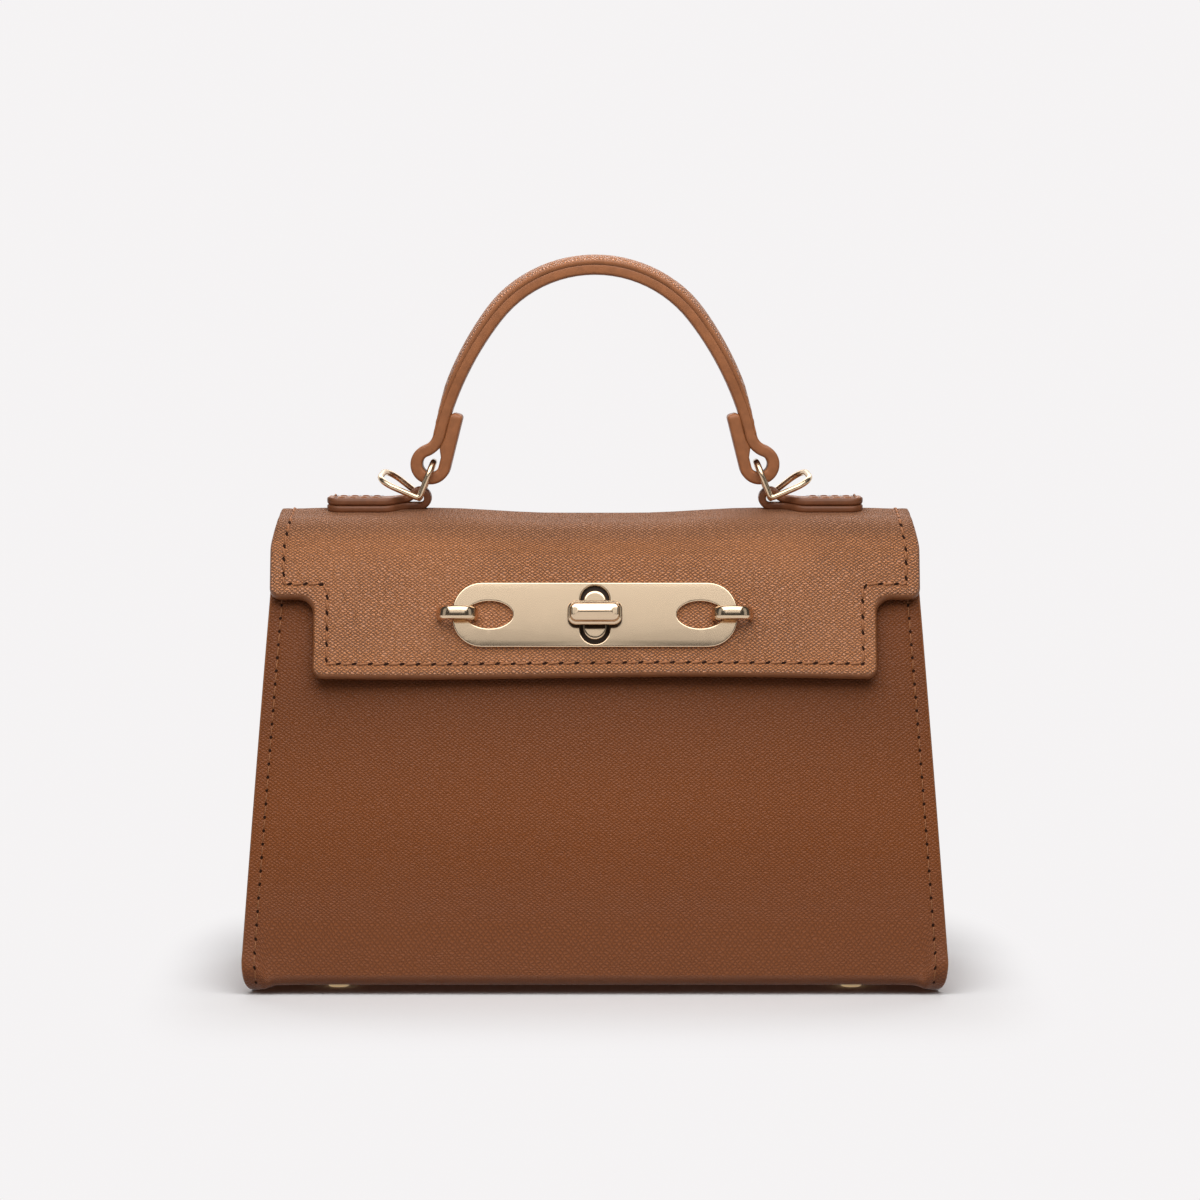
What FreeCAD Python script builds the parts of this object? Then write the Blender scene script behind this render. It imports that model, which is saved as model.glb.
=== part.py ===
"""A small structured top handle bag: tapered leather body, stepped flap, turn lock plate and arched handle.

Frame: millimetres, +Z up, +X to the right seen from the front, the front faces -Y.
The origin is on the floor under the middle of the bag, between its four feet.
"""
import FreeCAD, Part
import Sketcher
import math
import os
from types import SimpleNamespace

from FreeCAD import Placement, Rotation, Vector

# Driving dimensions, in millimetres, and angles in degrees
SIZES = (
    # body outline seen from the front
    ("body_width_low", 206.6),
    ("body_low_level", 7.0),
    ("body_width_high", 191.0),
    ("body_high_level", 120.0),
    ("body_corner_round", 6.0),
    # body profile seen from the side
    ("foot_height", 2.8),
    ("body_half_depth", 44.5),
    ("bottom_round", 8.0),
    ("front_lean_low", 7.6),
    ("front_lean_high", 16.0),
    ("front_top_level", 124.0),
    ("back_lean_low", 6.4),
    ("back_lean_high", 12.0),
    ("hinge_level", 128.0),
    # layers of the body wall
    ("body_leather", 1.5),
    ("layer_gap", 0.1),
    ("stiffener", 2.2),
    ("stiffener_low_level", 16.0),
    ("stiffener_top_drop", 0.5),
    ("facing_leather", 1.0),
    ("facing_height", 11.0),
    ("facing_top_drop", 0.3),
    ("lining_thickness", 0.6),
    ("board_edge_gap", 0.8),
    ("overrun", 5.0),
    # gussets
    ("flange_width", 4.6),
    ("gusset_leather", 1.2),
    ("gusset_top_level", 117.0),
    ("gusset_crease", 7.0),
    ("fold_room", 2.8),
    # base board, feet and their washers
    ("base_board_thickness", 1.4),
    ("base_board_inset", 1.5),
    ("base_board_round", 4.0),
    ("foot_diameter", 7.0),
    ("foot_chamfer", 0.7),
    ("foot_stem_diameter", 2.0),
    ("foot_stem_head", 0.2),
    ("foot_end_inset", 27.6),
    ("foot_side_inset", 17.5),
    ("foot_washer_diameter", 9.0),
    ("foot_washer_thickness", 0.5),
    ("stem_clearance", 0.15),
    # flap
    ("flap_top_level", 140.0),
    ("flap_bottom_level", 92.0),
    ("flap_lean", 14.5),
    ("flap_thickness", 3.0),
    ("flap_leather", 1.2),
    ("flap_board", 1.2),
    ("flap_round", 9.0),
    ("flap_stand_off", 1.8),
    ("flap_wing_width", 191.6),
    ("flap_top_width", 186.8),
    ("flap_tongue_width", 165.6),
    ("flap_wing_level", 115.0),
    ("flap_corner_round", 2.0),
    ("flap_turned_edge", 8.0),
    ("flap_hinge_edge", 2.6),
    ("hinge_gap", 0.6),
    ("hinge_bevel", 1.2),
    # hidden magnets that hold the flap shut
    ("magnet_diameter", 12.0),
    ("magnet_thickness", 1.0),
    ("magnet_across", 62.0),
    ("magnet_clearance", 0.5),
    # lock plate and the two staples that hold it
    ("plate_level", 110.0),
    ("plate_length", 83.7),
    ("plate_height", 19.4),
    ("plate_thickness", 1.5),
    ("plate_end_round", 8.7),
    ("plate_bevel", 0.4),
    ("slot_width", 8.6),
    ("slot_height", 17.3),
    ("eye_across", 30.9),
    ("eye_length", 13.5),
    ("eye_height", 8.0),
    ("staple_across", 40.35),
    ("staple_span", 11.5),
    ("staple_wire", 1.6),
    ("staple_width", 3.5),
    ("staple_edge_round", 0.6),
    ("staple_washer_length", 15.5),
    ("staple_washer_height", 5.5),
    ("rivet_plate", 0.6),
    # turn lock
    ("lock_base_width", 7.0),
    ("lock_base_height", 14.7),
    ("lock_base_rise", 0.6),
    ("lock_prong_diameter", 1.4),
    ("lock_prong_offset", 5.2),
    ("lock_back_width", 10.0),
    ("lock_back_height", 18.4),
    ("knob_length", 15.2),
    ("knob_height", 6.5),
    ("knob_round", 2.1),
    ("knob_clear", 3.4),
    ("knob_flange", 1.6),
    ("knob_pillow", 3.0),
    ("knob_bevel", 1.3),
    ("knob_neck_diameter", 4.8),
    ("knob_neck_start", 0.1),
    ("knob_stem_diameter", 3.0),
    ("running_clearance", 0.05),
    ("retainer_diameter", 6.2),
    ("retainer_thickness", 0.5),
    # handle tabs sewn on the flap top
    ("tab_outer_end", 80.0),
    ("tab_half_width", 8.5),
    ("tab_round", 4.0),
    ("tab_shoulder_outer", 60.5),
    ("tab_shoulder_inner", 56.5),
    ("tab_loop_half_width", 3.8),
    ("tab_leather", 2.05),
    ("tab_fold_gap", 0.1),
    ("tab_bore_radius", 1.3),
    ("tab_neck_radius", 3.0),
    # double rings
    ("ring_across", 52.4),
    ("ring_wire", 2.0),
    ("ring_half_width", 7.8),
    ("ring_corner", 3.0),
    ("handle_leg_length", 11.4),
    ("handle_leg_lean", 21.0),
    ("strap_leg_length", 13.0),
    ("strap_leg_rise", 32.0),
    # handle
    ("handle_top_level", 215.6),
    ("handle_crown", 2.2),
    ("handle_strap", 3.5),
    ("handle_width", 14.0),
    ("handle_end_width", 12.0),
    ("handle_waist_level", 171.0),
    ("handle_shoulder_level", 182.0),
    ("handle_arch_radius", 35.5),
    ("handle_arch_turn", 52.0),
    ("handle_leg_tilt", 14.0),
    ("handle_loop_across", 49.1),
    ("handle_loop_level", 153.4),
    ("handle_bore_radius", 2.5),
    ("handle_neck_radius", 6.0),
    ("handle_fold_gap", 0.35),
    ("handle_tail", 16.6),
)

doc = FreeCAD.newDocument("TopHandleBag")
sheet = doc.addObject("Spreadsheet::Sheet", "Sizes")
for row, (alias, value) in enumerate(SIZES, start=1):
    sheet.set(f"A{row}", alias)
    sheet.set(f"B{row}", str(value))
    sheet.setAlias(f"B{row}", alias)
doc.recompute()
dim = SimpleNamespace(**{alias: float(sheet.get(alias)) for alias, _ in SIZES})

nodes = []


def keep(item, label):
    """Name an object as one of the bag's sub-parts."""
    item.Label = label
    nodes.append(item)
    return item


# Plane geometry: a stretch is two points for a straight line or three for an arc
def point(across, up):
    return Vector(across, up, 0)


def polar(radius, degrees):
    return point(radius * math.cos(math.radians(degrees)), radius * math.sin(math.radians(degrees)))


def curve(stretch):
    return Part.LineSegment(*stretch) if len(stretch) == 2 else Part.Arc(*stretch)


def turn_arc(centre, start, end):
    """An arc about a centre between two points at most half a turn apart, by way of their middle."""
    radius = (start - centre).Length
    middle = (start - centre) + (end - centre)
    return (start, centre + middle * (radius / middle.Length), end)


def offset(stretch, distance):
    """The same stretch moved to its left by a distance."""
    first, last = stretch[0], stretch[-1]
    if len(stretch) == 2:
        along = last - first
        left = point(-along.y, along.x) * (distance / along.Length)
        return (first + left, last + left)
    arc = Part.Circle(*stretch)
    left_turn = (stretch[1] - first).cross(last - stretch[1]).z > 0
    radius = arc.Radius - distance if left_turn else arc.Radius + distance
    return tuple(arc.Center + (place - arc.Center) * (radius / arc.Radius) for place in stretch)


def cap(start, end, is_round):
    """The end of a strip: square, or rounded outwards."""
    if not is_round:
        return (start, end)
    across = end - start
    return (start, (start + end + point(across.y, -across.x)) / 2, end)


def strip(path, right, left, round_ends=False):
    """The closed outline between two offsets of a path, its right side first."""
    one = [offset(stretch, right) for stretch in path]
    two = [tuple(reversed(offset(stretch, left))) for stretch in reversed(path)]
    end_cap = cap(one[-1][-1], two[0][0], round_ends)
    start_cap = cap(two[-1][-1], one[0][0], round_ends)
    return one + [end_cap] + two + [start_cap]


def rounded(corners):
    """A closed outline through corners, each a point and the radius that rounds it."""
    ends = []
    arcs = []
    for index, (corner, radius) in enumerate(corners):
        back = corners[index - 1][0] - corner
        ahead = corners[(index + 1) % len(corners)][0] - corner
        if radius == 0:
            ends.append((corner, corner))
            arcs.append(None)
            continue
        half = back.getAngle(ahead) / 2
        reach = radius / math.tan(half)
        start = corner + back * (reach / back.Length)
        end = corner + ahead * (reach / ahead.Length)
        bisector = back / back.Length + ahead / ahead.Length
        centre = corner + bisector * (radius / math.sin(half) / bisector.Length)
        ends.append((start, end))
        arcs.append(turn_arc(centre, start, end))
    outline = []
    for index, arc in enumerate(arcs):
        outline += [arc] if arc else []
        outline.append((ends[index][1], ends[(index + 1) % len(ends)][0]))
    return outline


def box_corners(half_width, half_height, radius):
    signs = ((-1, -1), (1, -1), (1, 1), (-1, 1))
    return [(point(right * half_width, up * half_height), radius) for right, up in signs]


def obround(width, height):
    """An upright slot with half round ends."""
    radius, straight = width / 2, (height - width) / 2
    low, high = point(0, -straight), point(0, straight)
    right, left = point(radius, 0), point(-radius, 0)
    return [(low + right, high + right), (high + right, high + point(0, radius), high + left),
            (high + left, low + left), (low + left, low - point(0, radius), low + right)]


def mirrored(path):
    """The path on the other side of the upright axis, run backwards."""
    return [tuple(point(-place.x, place.y) for place in reversed(stretch)) for stretch in reversed(path)]


# Features shared by the sub-parts
def new_body(label):
    return doc.addObject("PartDesign::Body", label)


def sketch_on(body, role, place=Placement()):
    sketch = body.newObject("Sketcher::SketchObject", "Sketch")
    plane = next(item for item in body.Origin.OriginFeatures if item.Role == role)
    sketch.AttachmentSupport = [(plane, "")]
    sketch.MapMode = "FlatFace"
    sketch.AttachmentOffset = place
    return sketch


def draw(sketch, *outlines):
    for outline in outlines:
        sketch.addGeometry([curve(stretch) for stretch in outline])
    return sketch


def draw_circles(sketch, centres, diameter):
    """Circles whose diameter follows an expression on the sheet."""
    for centre in centres:
        width = sketch.evalExpression(diameter)
        index = sketch.addGeometry(Part.Circle(centre, Vector(0, 0, 1), width / 2))
        constraint = sketch.addConstraint(Sketcher.Constraint("Diameter", index, width))
        sketch.setExpression(f"Constraints[{constraint}]", diameter)
    return sketch


def pad(body, sketch, length, symmetric=False, away=False):
    feature = body.newObject("PartDesign::Pad", "Pad")
    feature.Profile = sketch
    feature.SideType = "Symmetric" if symmetric else "One side"
    feature.Reversed = away
    feature.setExpression("Length", length)
    return feature


def cut_through(body, sketch):
    """Cut a sketch right through the body, both ways."""
    feature = body.newObject("PartDesign::Pocket", "Pocket")
    feature.Profile = sketch
    feature.Type = "ThroughAll"
    feature.SideType = "Symmetric"
    return feature


def trim_outside(body, role, outline, reach):
    """Cut away all that lies outside an outline."""
    sketch = sketch_on(body, role)
    draw(sketch, outline, rounded(box_corners(reach, reach, 0)))
    return cut_through(body, sketch)


def soften(body, kind, edges, prop, value):
    """Bevel or round edges of the newest feature."""
    base = body.Tip
    feature = body.newObject(kind, "Softened")
    feature.Base = (base, edges)
    feature.setExpression(prop, value)
    return feature


def combine(kind, label, base, tool):
    item = doc.addObject(kind, label)
    item.Base = base
    item.Tool = tool
    return item


far_reach = dim.handle_top_level + dim.body_width_low


# Body profile seen from the side, with the front on the left
def wall_arc(lean_low, lean_high, top_level):
    """The front wall's outer arc from its top down to the bottom rounding."""
    low = point(-dim.body_half_depth + dim.bottom_round * (1 - math.cos(math.radians(lean_low))),
                dim.foot_height + dim.bottom_round * (1 + math.sin(math.radians(lean_low))))
    mean_lean = math.radians((lean_low + lean_high) / 2)
    rise = top_level - low.y
    top = low + point(rise * math.tan(mean_lean), rise)
    quarter_turn = math.radians((lean_high - lean_low) / 4)
    bulge = (top - low).Length / 2 * math.tan(quarter_turn)
    middle = (low + top) / 2 + point(-math.cos(mean_lean), math.sin(mean_lean)) * bulge
    return (top, middle, low)


def bottom_corner(lean_low):
    low = wall_arc(lean_low, lean_low, dim.front_top_level)[2]
    lean = math.radians(lean_low)
    centre = low + point(math.cos(lean), -math.sin(lean)) * dim.bottom_round
    return turn_arc(centre, low, centre - point(0, dim.bottom_round))


def on_wall(arc, level):
    """The point of a front wall's arc at a level."""
    circle = Part.Circle(*arc)
    up = level - circle.Center.y
    return point(circle.Center.x - math.sqrt(circle.Radius ** 2 - up ** 2), level)


back_top_level = dim.hinge_level - dim.flap_thickness / 2 - dim.hinge_gap - dim.hinge_bevel
front_wall = wall_arc(dim.front_lean_low, dim.front_lean_high, dim.front_top_level)
back_wall = wall_arc(dim.back_lean_low, dim.back_lean_high, back_top_level)
front_corner = bottom_corner(dim.front_lean_low)
back_side = mirrored([back_wall, bottom_corner(dim.back_lean_low)])
body_path = [front_wall, front_corner, (front_corner[2], back_side[0][0])] + back_side


def half_width(level):
    """Half the body's width at a level, out to the edge of its seam flange."""
    slope = (dim.body_width_high - dim.body_width_low) / (dim.body_high_level - dim.body_low_level) / 2
    return dim.body_width_low / 2 + slope * (level - dim.body_low_level)


def tapered(bottom, top, inset, corner_round=0):
    """The body's tapered outline seen from the front, drawn in by an inset."""
    low, high = half_width(bottom) - inset, half_width(top) - inset
    corners = ((point(-low, bottom), corner_round), (point(low, bottom), corner_round),
               (point(high, top), 0), (point(-high, top), 0))
    return rounded(corners)


foot_across = dim.body_width_low / 2 - dim.foot_end_inset
foot_fore = dim.body_half_depth - dim.foot_side_inset
foot_places = [point(right * foot_across, back * foot_fore) for right in (-1, 1) for back in (-1, 1)]
stem_hole = "Sizes.foot_stem_diameter + 2 * Sizes.stem_clearance"


def make_body_leather():
    """Front, bottom and back in one piece of leather, folded round the bottom edges."""
    body = new_body("body_leather")
    lean = math.radians(dim.back_lean_high)
    section = strip(body_path, 0, dim.body_leather)
    outer_end, inner_end = section[len(body_path)]
    # The back's top edge is bevelled on the outside, to leave the opened flap its room
    bevel_top = inner_end + point(-math.sin(lean), math.cos(lean)) * dim.hinge_bevel
    section[len(body_path)] = (outer_end, bevel_top)
    section.insert(len(body_path) + 1, (bevel_top, inner_end))
    pad(body, draw(sketch_on(body, "YZ_Plane"), section),
        "Sizes.body_width_low + 2 * Sizes.overrun", symmetric=True)
    bottom, top = dim.foot_height - dim.layer_gap, dim.hinge_level + dim.overrun
    outline = tapered(bottom, top, 0, dim.body_corner_round)
    trim_outside(body, "XZ_Plane", outline, far_reach)
    holes = body.newObject("PartDesign::Pocket", "Pocket")
    holes.Profile = draw_circles(sketch_on(body, "XY_Plane"), foot_places, stem_hole)
    holes.Reversed = True
    holes.setExpression("Length", "Sizes.foot_height + Sizes.body_leather + Sizes.overrun")
    return keep(body, "body_leather")


def make_base_board():
    body = new_body("base_board")
    inset = dim.flange_width + dim.gusset_leather + dim.board_edge_gap
    half_length = half_width(dim.body_low_level) - inset
    half_depth = dim.body_half_depth - dim.bottom_round - dim.base_board_inset
    corners = box_corners(half_length, half_depth, dim.base_board_round)
    place = Placement(Vector(0, 0, dim.foot_height + dim.body_leather + dim.layer_gap), Rotation())
    pad(body, draw(sketch_on(body, "XY_Plane", place), rounded(corners)), "Sizes.base_board_thickness")
    cut_through(body, draw_circles(sketch_on(body, "XY_Plane"), foot_places, stem_hole))
    return keep(body, "base_board")


washer_level = dim.foot_height + dim.body_leather + 2 * dim.layer_gap + dim.base_board_thickness


def make_feet():
    """Four turned metal studs, each with a stem riveted over a washer inside."""
    body = new_body("feet")
    studs = draw_circles(sketch_on(body, "XY_Plane"), foot_places, "Sizes.foot_diameter")
    pad(body, studs, "Sizes.foot_height")
    doc.recompute()
    rims = [f"Edge{index}" for index, edge in enumerate(body.Tip.Shape.Edges, start=1)
            if edge.BoundBox.ZMax < dim.foot_height / 2]
    soften(body, "PartDesign::Chamfer", rims, "Size", "Sizes.foot_chamfer")
    stems = draw_circles(sketch_on(body, "XY_Plane"), foot_places, "Sizes.foot_stem_diameter")
    pad(body, stems, "Sizes.foot_height + Sizes.body_leather + 2 * Sizes.layer_gap"
        " + Sizes.base_board_thickness + Sizes.foot_washer_thickness + Sizes.foot_stem_head")
    return keep(body, "feet")


def make_foot_washers():
    body = new_body("foot_washers")
    place = Placement(Vector(0, 0, washer_level), Rotation())
    sketch = draw_circles(sketch_on(body, "XY_Plane", place), foot_places, "Sizes.foot_washer_diameter")
    draw_circles(sketch, foot_places, stem_hole)
    pad(body, sketch, "Sizes.foot_washer_thickness")
    return keep(body, "foot_washers")


# Lining depth follows what lies under it on the bottom: board, washers and riveted stems
lining_depth = washer_level + dim.foot_washer_thickness + dim.foot_stem_head + dim.layer_gap - dim.foot_height
flap_front_lean = math.radians(dim.flap_lean)
inset_past_fold = dim.flange_width + dim.gusset_leather + dim.fold_room


def wall_part(arc, high, low):
    return tuple(on_wall(arc, level) for level in (high, (high + low) / 2, low))


def wall_layer(label, arc, is_back, high, low, depth, thickness):
    """A layer on the inside of the front or the back wall, between the gussets' folds."""
    body = new_body(label)
    path = [wall_part(arc, high, low)]
    path = mirrored(path) if is_back else path
    pad(body, draw(sketch_on(body, "YZ_Plane"), strip(path, depth, depth + thickness)),
        "Sizes.body_width_low + 2 * Sizes.overrun", symmetric=True)
    outline = tapered(low - dim.overrun, high + dim.overrun, inset_past_fold)
    trim_outside(body, "XZ_Plane", outline, far_reach)
    return keep(body, label)


def make_stiffener(label, arc, is_back, top_level):
    """A padded board between the leather and the lining of one wall."""
    return wall_layer(label, arc, is_back, top_level - dim.stiffener_top_drop, dim.stiffener_low_level,
                      dim.body_leather + dim.layer_gap, dim.stiffener)


def cut_magnet_holes(body):
    centres = [point(side * dim.magnet_across, dim.plate_level) for side in (-1, 1)]
    cut_through(body, draw_circles(sketch_on(body, "XZ_Plane"), centres,
                                   "Sizes.magnet_diameter + 2 * Sizes.magnet_clearance"))


def make_facing(label, arc, is_back, top_level):
    """A leather band inside the mouth, above the lining."""
    high = top_level - dim.facing_top_drop
    return wall_layer(label, arc, is_back, high, high - dim.facing_height,
                      dim.body_leather + dim.stiffener + 2 * dim.layer_gap, dim.facing_leather)


def inside_space(label, depth):
    """All the space inside the body walls at a depth from their outer face."""
    body = new_body(label)
    inner = [offset(stretch, depth) for stretch in body_path]
    pad(body, draw(sketch_on(body, "YZ_Plane"), inner + [(inner[-1][-1], inner[0][0])]),
        "Sizes.body_width_low + 2 * Sizes.overrun", symmetric=True)
    return body


def inner_depths(level, depth):
    """Where the front and back walls' inner faces stand at a level."""
    front = on_wall(front_wall, level).x + depth
    back = -on_wall(back_wall, level).x - depth
    return front - dim.overrun, back + dim.overrun


def crease_sections(inset, crease, top, sides):
    """Plan outlines at the bottom and the top of a space whose ends fold inwards towards the top."""
    sections = []
    for level, fold in ((0, 0), (top, crease)):
        front, back = inner_depths(max(level, dim.stiffener_low_level), 0)
        edge = half_width(level) - inset
        places = []
        for side in sides:
            ends = ((edge, front), (edge - fold, 0), (edge, back))
            places += [point(side * across, fore) for across, fore in (ends if side > 0 else reversed(ends))]
        sections.append((level, places))
    return sections


def loft_between(label, sections):
    body = new_body(label)
    sketches = []
    for level, places in sections:
        sketch = sketch_on(body, "XY_Plane", Placement(Vector(0, 0, level), Rotation()))
        draw(sketch, rounded([(place, 0) for place in places]))
        sketches.append(sketch)
    loft = body.newObject("PartDesign::AdditiveLoft", "Loft")
    loft.Profile = sketches[0]
    loft.Sections = sketches[1:]
    loft.Ruled = True
    return body


def make_gusset(label, side):
    """An end wall with an inward crease, and its flange sewn inside the body's edge."""
    outer = crease_sections(dim.flange_width, dim.gusset_crease, dim.gusset_top_level, [side])
    inner = crease_sections(dim.flange_width + dim.gusset_leather, dim.gusset_crease,
                            dim.gusset_top_level, [side])
    sections = [(level, places + list(reversed(backs)))
                for (level, places), (_, backs) in zip(outer, inner)]
    wall = loft_between(label + "_wall", sections)
    depth = dim.body_leather + dim.layer_gap
    trimmed = combine("Part::Common", label + "_trimmed", wall, inside_space(label + "_space", depth))
    flange = new_body(label + "_flange")
    pad(flange, draw(sketch_on(flange, "YZ_Plane"), strip(body_path, depth, depth + dim.gusset_leather)),
        "Sizes.body_width_low + 2 * Sizes.overrun", symmetric=True)
    low, top = dim.foot_height, dim.gusset_top_level
    reach = dim.flange_width + dim.gusset_leather
    band = [point(half_width(low), low), point(half_width(top), top),
            point(half_width(top) - reach, top), point(half_width(low) - reach, low)]
    outline = rounded([(point(side * place.x, place.y), 0) for place in band])
    trim_outside(flange, "XZ_Plane", outline, far_reach)
    return keep(combine("Part::Fuse", label, trimmed, flange), label)


def make_lining():
    """The fabric bag inside, open at the mouth."""
    facing_slant = (lining_depth + dim.facing_leather) * math.sin(math.radians(dim.front_lean_high))
    top = dim.front_top_level - dim.facing_top_drop - dim.facing_height - facing_slant - dim.layer_gap
    inset = dim.flange_width + dim.gusset_leather + dim.layer_gap
    outer = loft_between("lining_outer", crease_sections(inset, dim.gusset_crease, top, (1, -1)))
    inner = loft_between("lining_inner", crease_sections(inset + dim.lining_thickness, dim.gusset_crease,
                                                         top + dim.overrun, (1, -1)))
    skin = combine("Part::Common", "lining_skin", outer, inside_space("lining_space", lining_depth))
    room = combine("Part::Common", "lining_room", inner,
                   inside_space("lining_inside", lining_depth + dim.lining_thickness))
    return keep(combine("Part::Cut", "lining", skin, room), "lining")


# Flap profile seen from the side, from its front edge over the top to the hinge line at the back
def make_flap_path():
    gap = (dim.flap_stand_off + dim.flap_thickness) / math.cos(flap_front_lean)
    front_low = point(on_wall(front_wall, dim.flap_bottom_level).x - gap, dim.flap_bottom_level)
    rise = dim.flap_top_level - dim.flap_bottom_level
    front_top = front_low + point(rise * math.tan(flap_front_lean), rise)
    back_lean = math.tan(math.radians(dim.back_lean_high))
    hinge_rise = dim.hinge_level - back_top_level
    back_low = point(-back_wall[0].x - hinge_rise * back_lean, dim.hinge_level)
    back_top = back_low + point(-(dim.flap_top_level - dim.hinge_level) * back_lean,
                                dim.flap_top_level - dim.hinge_level)
    corners = ((front_low, 0), (front_top, dim.flap_round), (back_top, dim.flap_round), (back_low, 0))
    return rounded(corners)[:-1]


flap_path = make_flap_path()


def flap_outline(margin):
    """The stepped outline of the flap seen from the front, drawn in by a margin."""
    wing, top, tongue = (width / 2 - margin for width in
                         (dim.flap_wing_width, dim.flap_top_width, dim.flap_tongue_width))
    step = dim.flap_wing_level + margin
    high = dim.flap_top_level + dim.overrun
    low = dim.flap_bottom_level - dim.overrun
    right = ((point(tongue, low), 0), (point(tongue, step), dim.flap_corner_round),
             (point(wing, step), dim.flap_corner_round), (point(top, high), 0))
    left = tuple((point(-place.x, place.y), radius) for place, radius in reversed(right))
    return rounded(right + left)


def shortened(path, start_distance, end_distance):
    """A path whose first and last straight stretches are cut back."""
    first, last = path[0], path[-1]
    along_first, along_last = first[1] - first[0], last[1] - last[0]
    start = first[0] + along_first * (start_distance / along_first.Length)
    end = last[1] - along_last * (end_distance / along_last.Length)
    return [(start, first[1])] + path[1:-1] + [(last[0], end)]


# Hardware on the flap front is built upright about the plate's middle, then leaned onto the flap
flap_front = flap_path[0]
plate_share = (dim.plate_level - flap_front[0].y) / (flap_front[1].y - flap_front[0].y)
plate_seat = flap_front[0] + (flap_front[1] - flap_front[0]) * plate_share
flap_face = Placement(Vector(0, plate_seat.x, plate_seat.y), Rotation(Vector(1, 0, 0), -dim.flap_lean))
face_sketch = Placement(Vector(0, plate_seat.y, -plate_seat.x), Rotation(Vector(1, 0, 0), -dim.flap_lean))


def proud(height):
    """A sketch place at a height above the flap face, or below it where negative."""
    return Placement(Vector(0, 0, height), Rotation())


staple_leg = (dim.staple_span - dim.staple_wire) / 2
leg_places = [point(side * dim.staple_across + end * staple_leg, 0) for side in (-1, 1) for end in (-1, 1)]
staple_places = [point(side * dim.staple_across, 0) for side in (-1, 1)]
magnet_places = [point(side * dim.magnet_across, 0) for side in (-1, 1)]
prong_places = [point(0, end * dim.lock_prong_offset) for end in (-1, 1)]


def rectangles(places, width, height):
    return [rounded([(place + corner, bend) for corner, bend in box_corners(width / 2, height / 2, 0)])
            for place in places]


def leg_slots():
    return rectangles(leg_places, dim.staple_wire + 2 * dim.stem_clearance,
                      dim.staple_width + 2 * dim.stem_clearance)


def draw_lock_holes(sketch):
    draw_circles(sketch, [point(0, 0)], "Sizes.knob_stem_diameter + 2 * Sizes.stem_clearance")
    return draw_circles(sketch, prong_places, "Sizes.lock_prong_diameter + 2 * Sizes.stem_clearance")


def flap_layer(label, depth, thickness, margin, hinge_margin, round_ends=False):
    """One layer of the flap: a strip over its whole profile, cut to the stepped outline."""
    body = new_body(label)
    path = shortened(flap_path, margin, hinge_margin)
    outline = strip(path, -depth - thickness, -depth, round_ends)
    pad(body, draw(sketch_on(body, "YZ_Plane"), outline), "Sizes.flap_wing_width + 2 * Sizes.overrun",
        symmetric=True)
    trim_outside(body, "XZ_Plane", flap_outline(margin), far_reach)
    return body


def make_flap_leather():
    """The outer leather with its turned edge, which frames the board and lining set into its back."""
    blank = flap_layer("flap_blank", 0, dim.flap_thickness, 0, 0, round_ends=True)
    recess = flap_layer("flap_recess", dim.flap_leather, dim.flap_thickness, dim.flap_turned_edge,
                        dim.flap_hinge_edge)
    slots = draw(sketch_on(blank, "XZ_Plane", face_sketch), *leg_slots())
    front_only = blank.newObject("PartDesign::Pocket", "Pocket")
    front_only.Profile = draw_lock_holes(slots)
    front_only.setExpression("Length", "Sizes.flap_thickness + Sizes.overrun")
    return keep(combine("Part::Cut", "flap_leather", blank, recess), "flap_leather")


def make_flap_board():
    """The stiff board in the flap, with openings for the magnets, rivet plates and lock back."""
    gap = dim.board_edge_gap
    body = flap_layer("flap_board", dim.flap_leather + dim.layer_gap, dim.flap_board,
                      dim.flap_turned_edge + gap, dim.flap_hinge_edge + gap)
    sketch = draw_circles(sketch_on(body, "XZ_Plane", face_sketch), magnet_places,
                          "Sizes.magnet_diameter + 2 * Sizes.magnet_clearance")
    room = 2 * dim.magnet_clearance
    draw(sketch, *rectangles(staple_places, dim.staple_washer_length + room, dim.staple_washer_height + room))
    back_width = dim.lock_back_width + room
    draw(sketch, obround(back_width, dim.lock_back_height + room))
    pocket = body.newObject("PartDesign::Pocket", "Pocket")
    pocket.Profile = sketch
    pocket.setExpression("Length", "Sizes.flap_thickness + Sizes.overrun")
    return keep(body, "flap_board")


def make_flap_lining():
    gap = dim.layer_gap
    depth = dim.flap_leather + dim.flap_board + 2 * gap
    layer = flap_layer("flap_lining", depth, dim.flap_thickness - depth,
                       dim.flap_turned_edge + gap, dim.flap_hinge_edge + gap)
    return keep(layer, "flap_lining")


def make_magnets(label, place, start):
    """A pair of flat magnets, hidden under the leather."""
    body = new_body(label)
    sketch = draw_circles(sketch_on(body, "XZ_Plane", proud(start)), magnet_places, "Sizes.magnet_diameter")
    pad(body, sketch, "Sizes.magnet_thickness", away=True)
    body.Placement = place
    return keep(body, label)


def front_wall_place():
    """A place on the front wall's outer face beside the plate, leaned as the wall is there."""
    seat = on_wall(front_wall, dim.plate_level)
    centre = Part.Circle(*front_wall).Center
    lean = math.degrees(math.atan2(seat.y - centre.y, centre.x - seat.x))
    return Placement(Vector(0, seat.x, seat.y), Rotation(Vector(1, 0, 0), -lean))


def front_edges(body, height):
    """Edges of the newest feature that lie in the plane at a height above the flap face."""
    return [f"Edge{index}" for index, edge in enumerate(body.Tip.Shape.Edges, start=1)
            if abs(edge.BoundBox.YMin + height) < dim.layer_gap / 2 and edge.BoundBox.YLength < dim.layer_gap]


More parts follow.
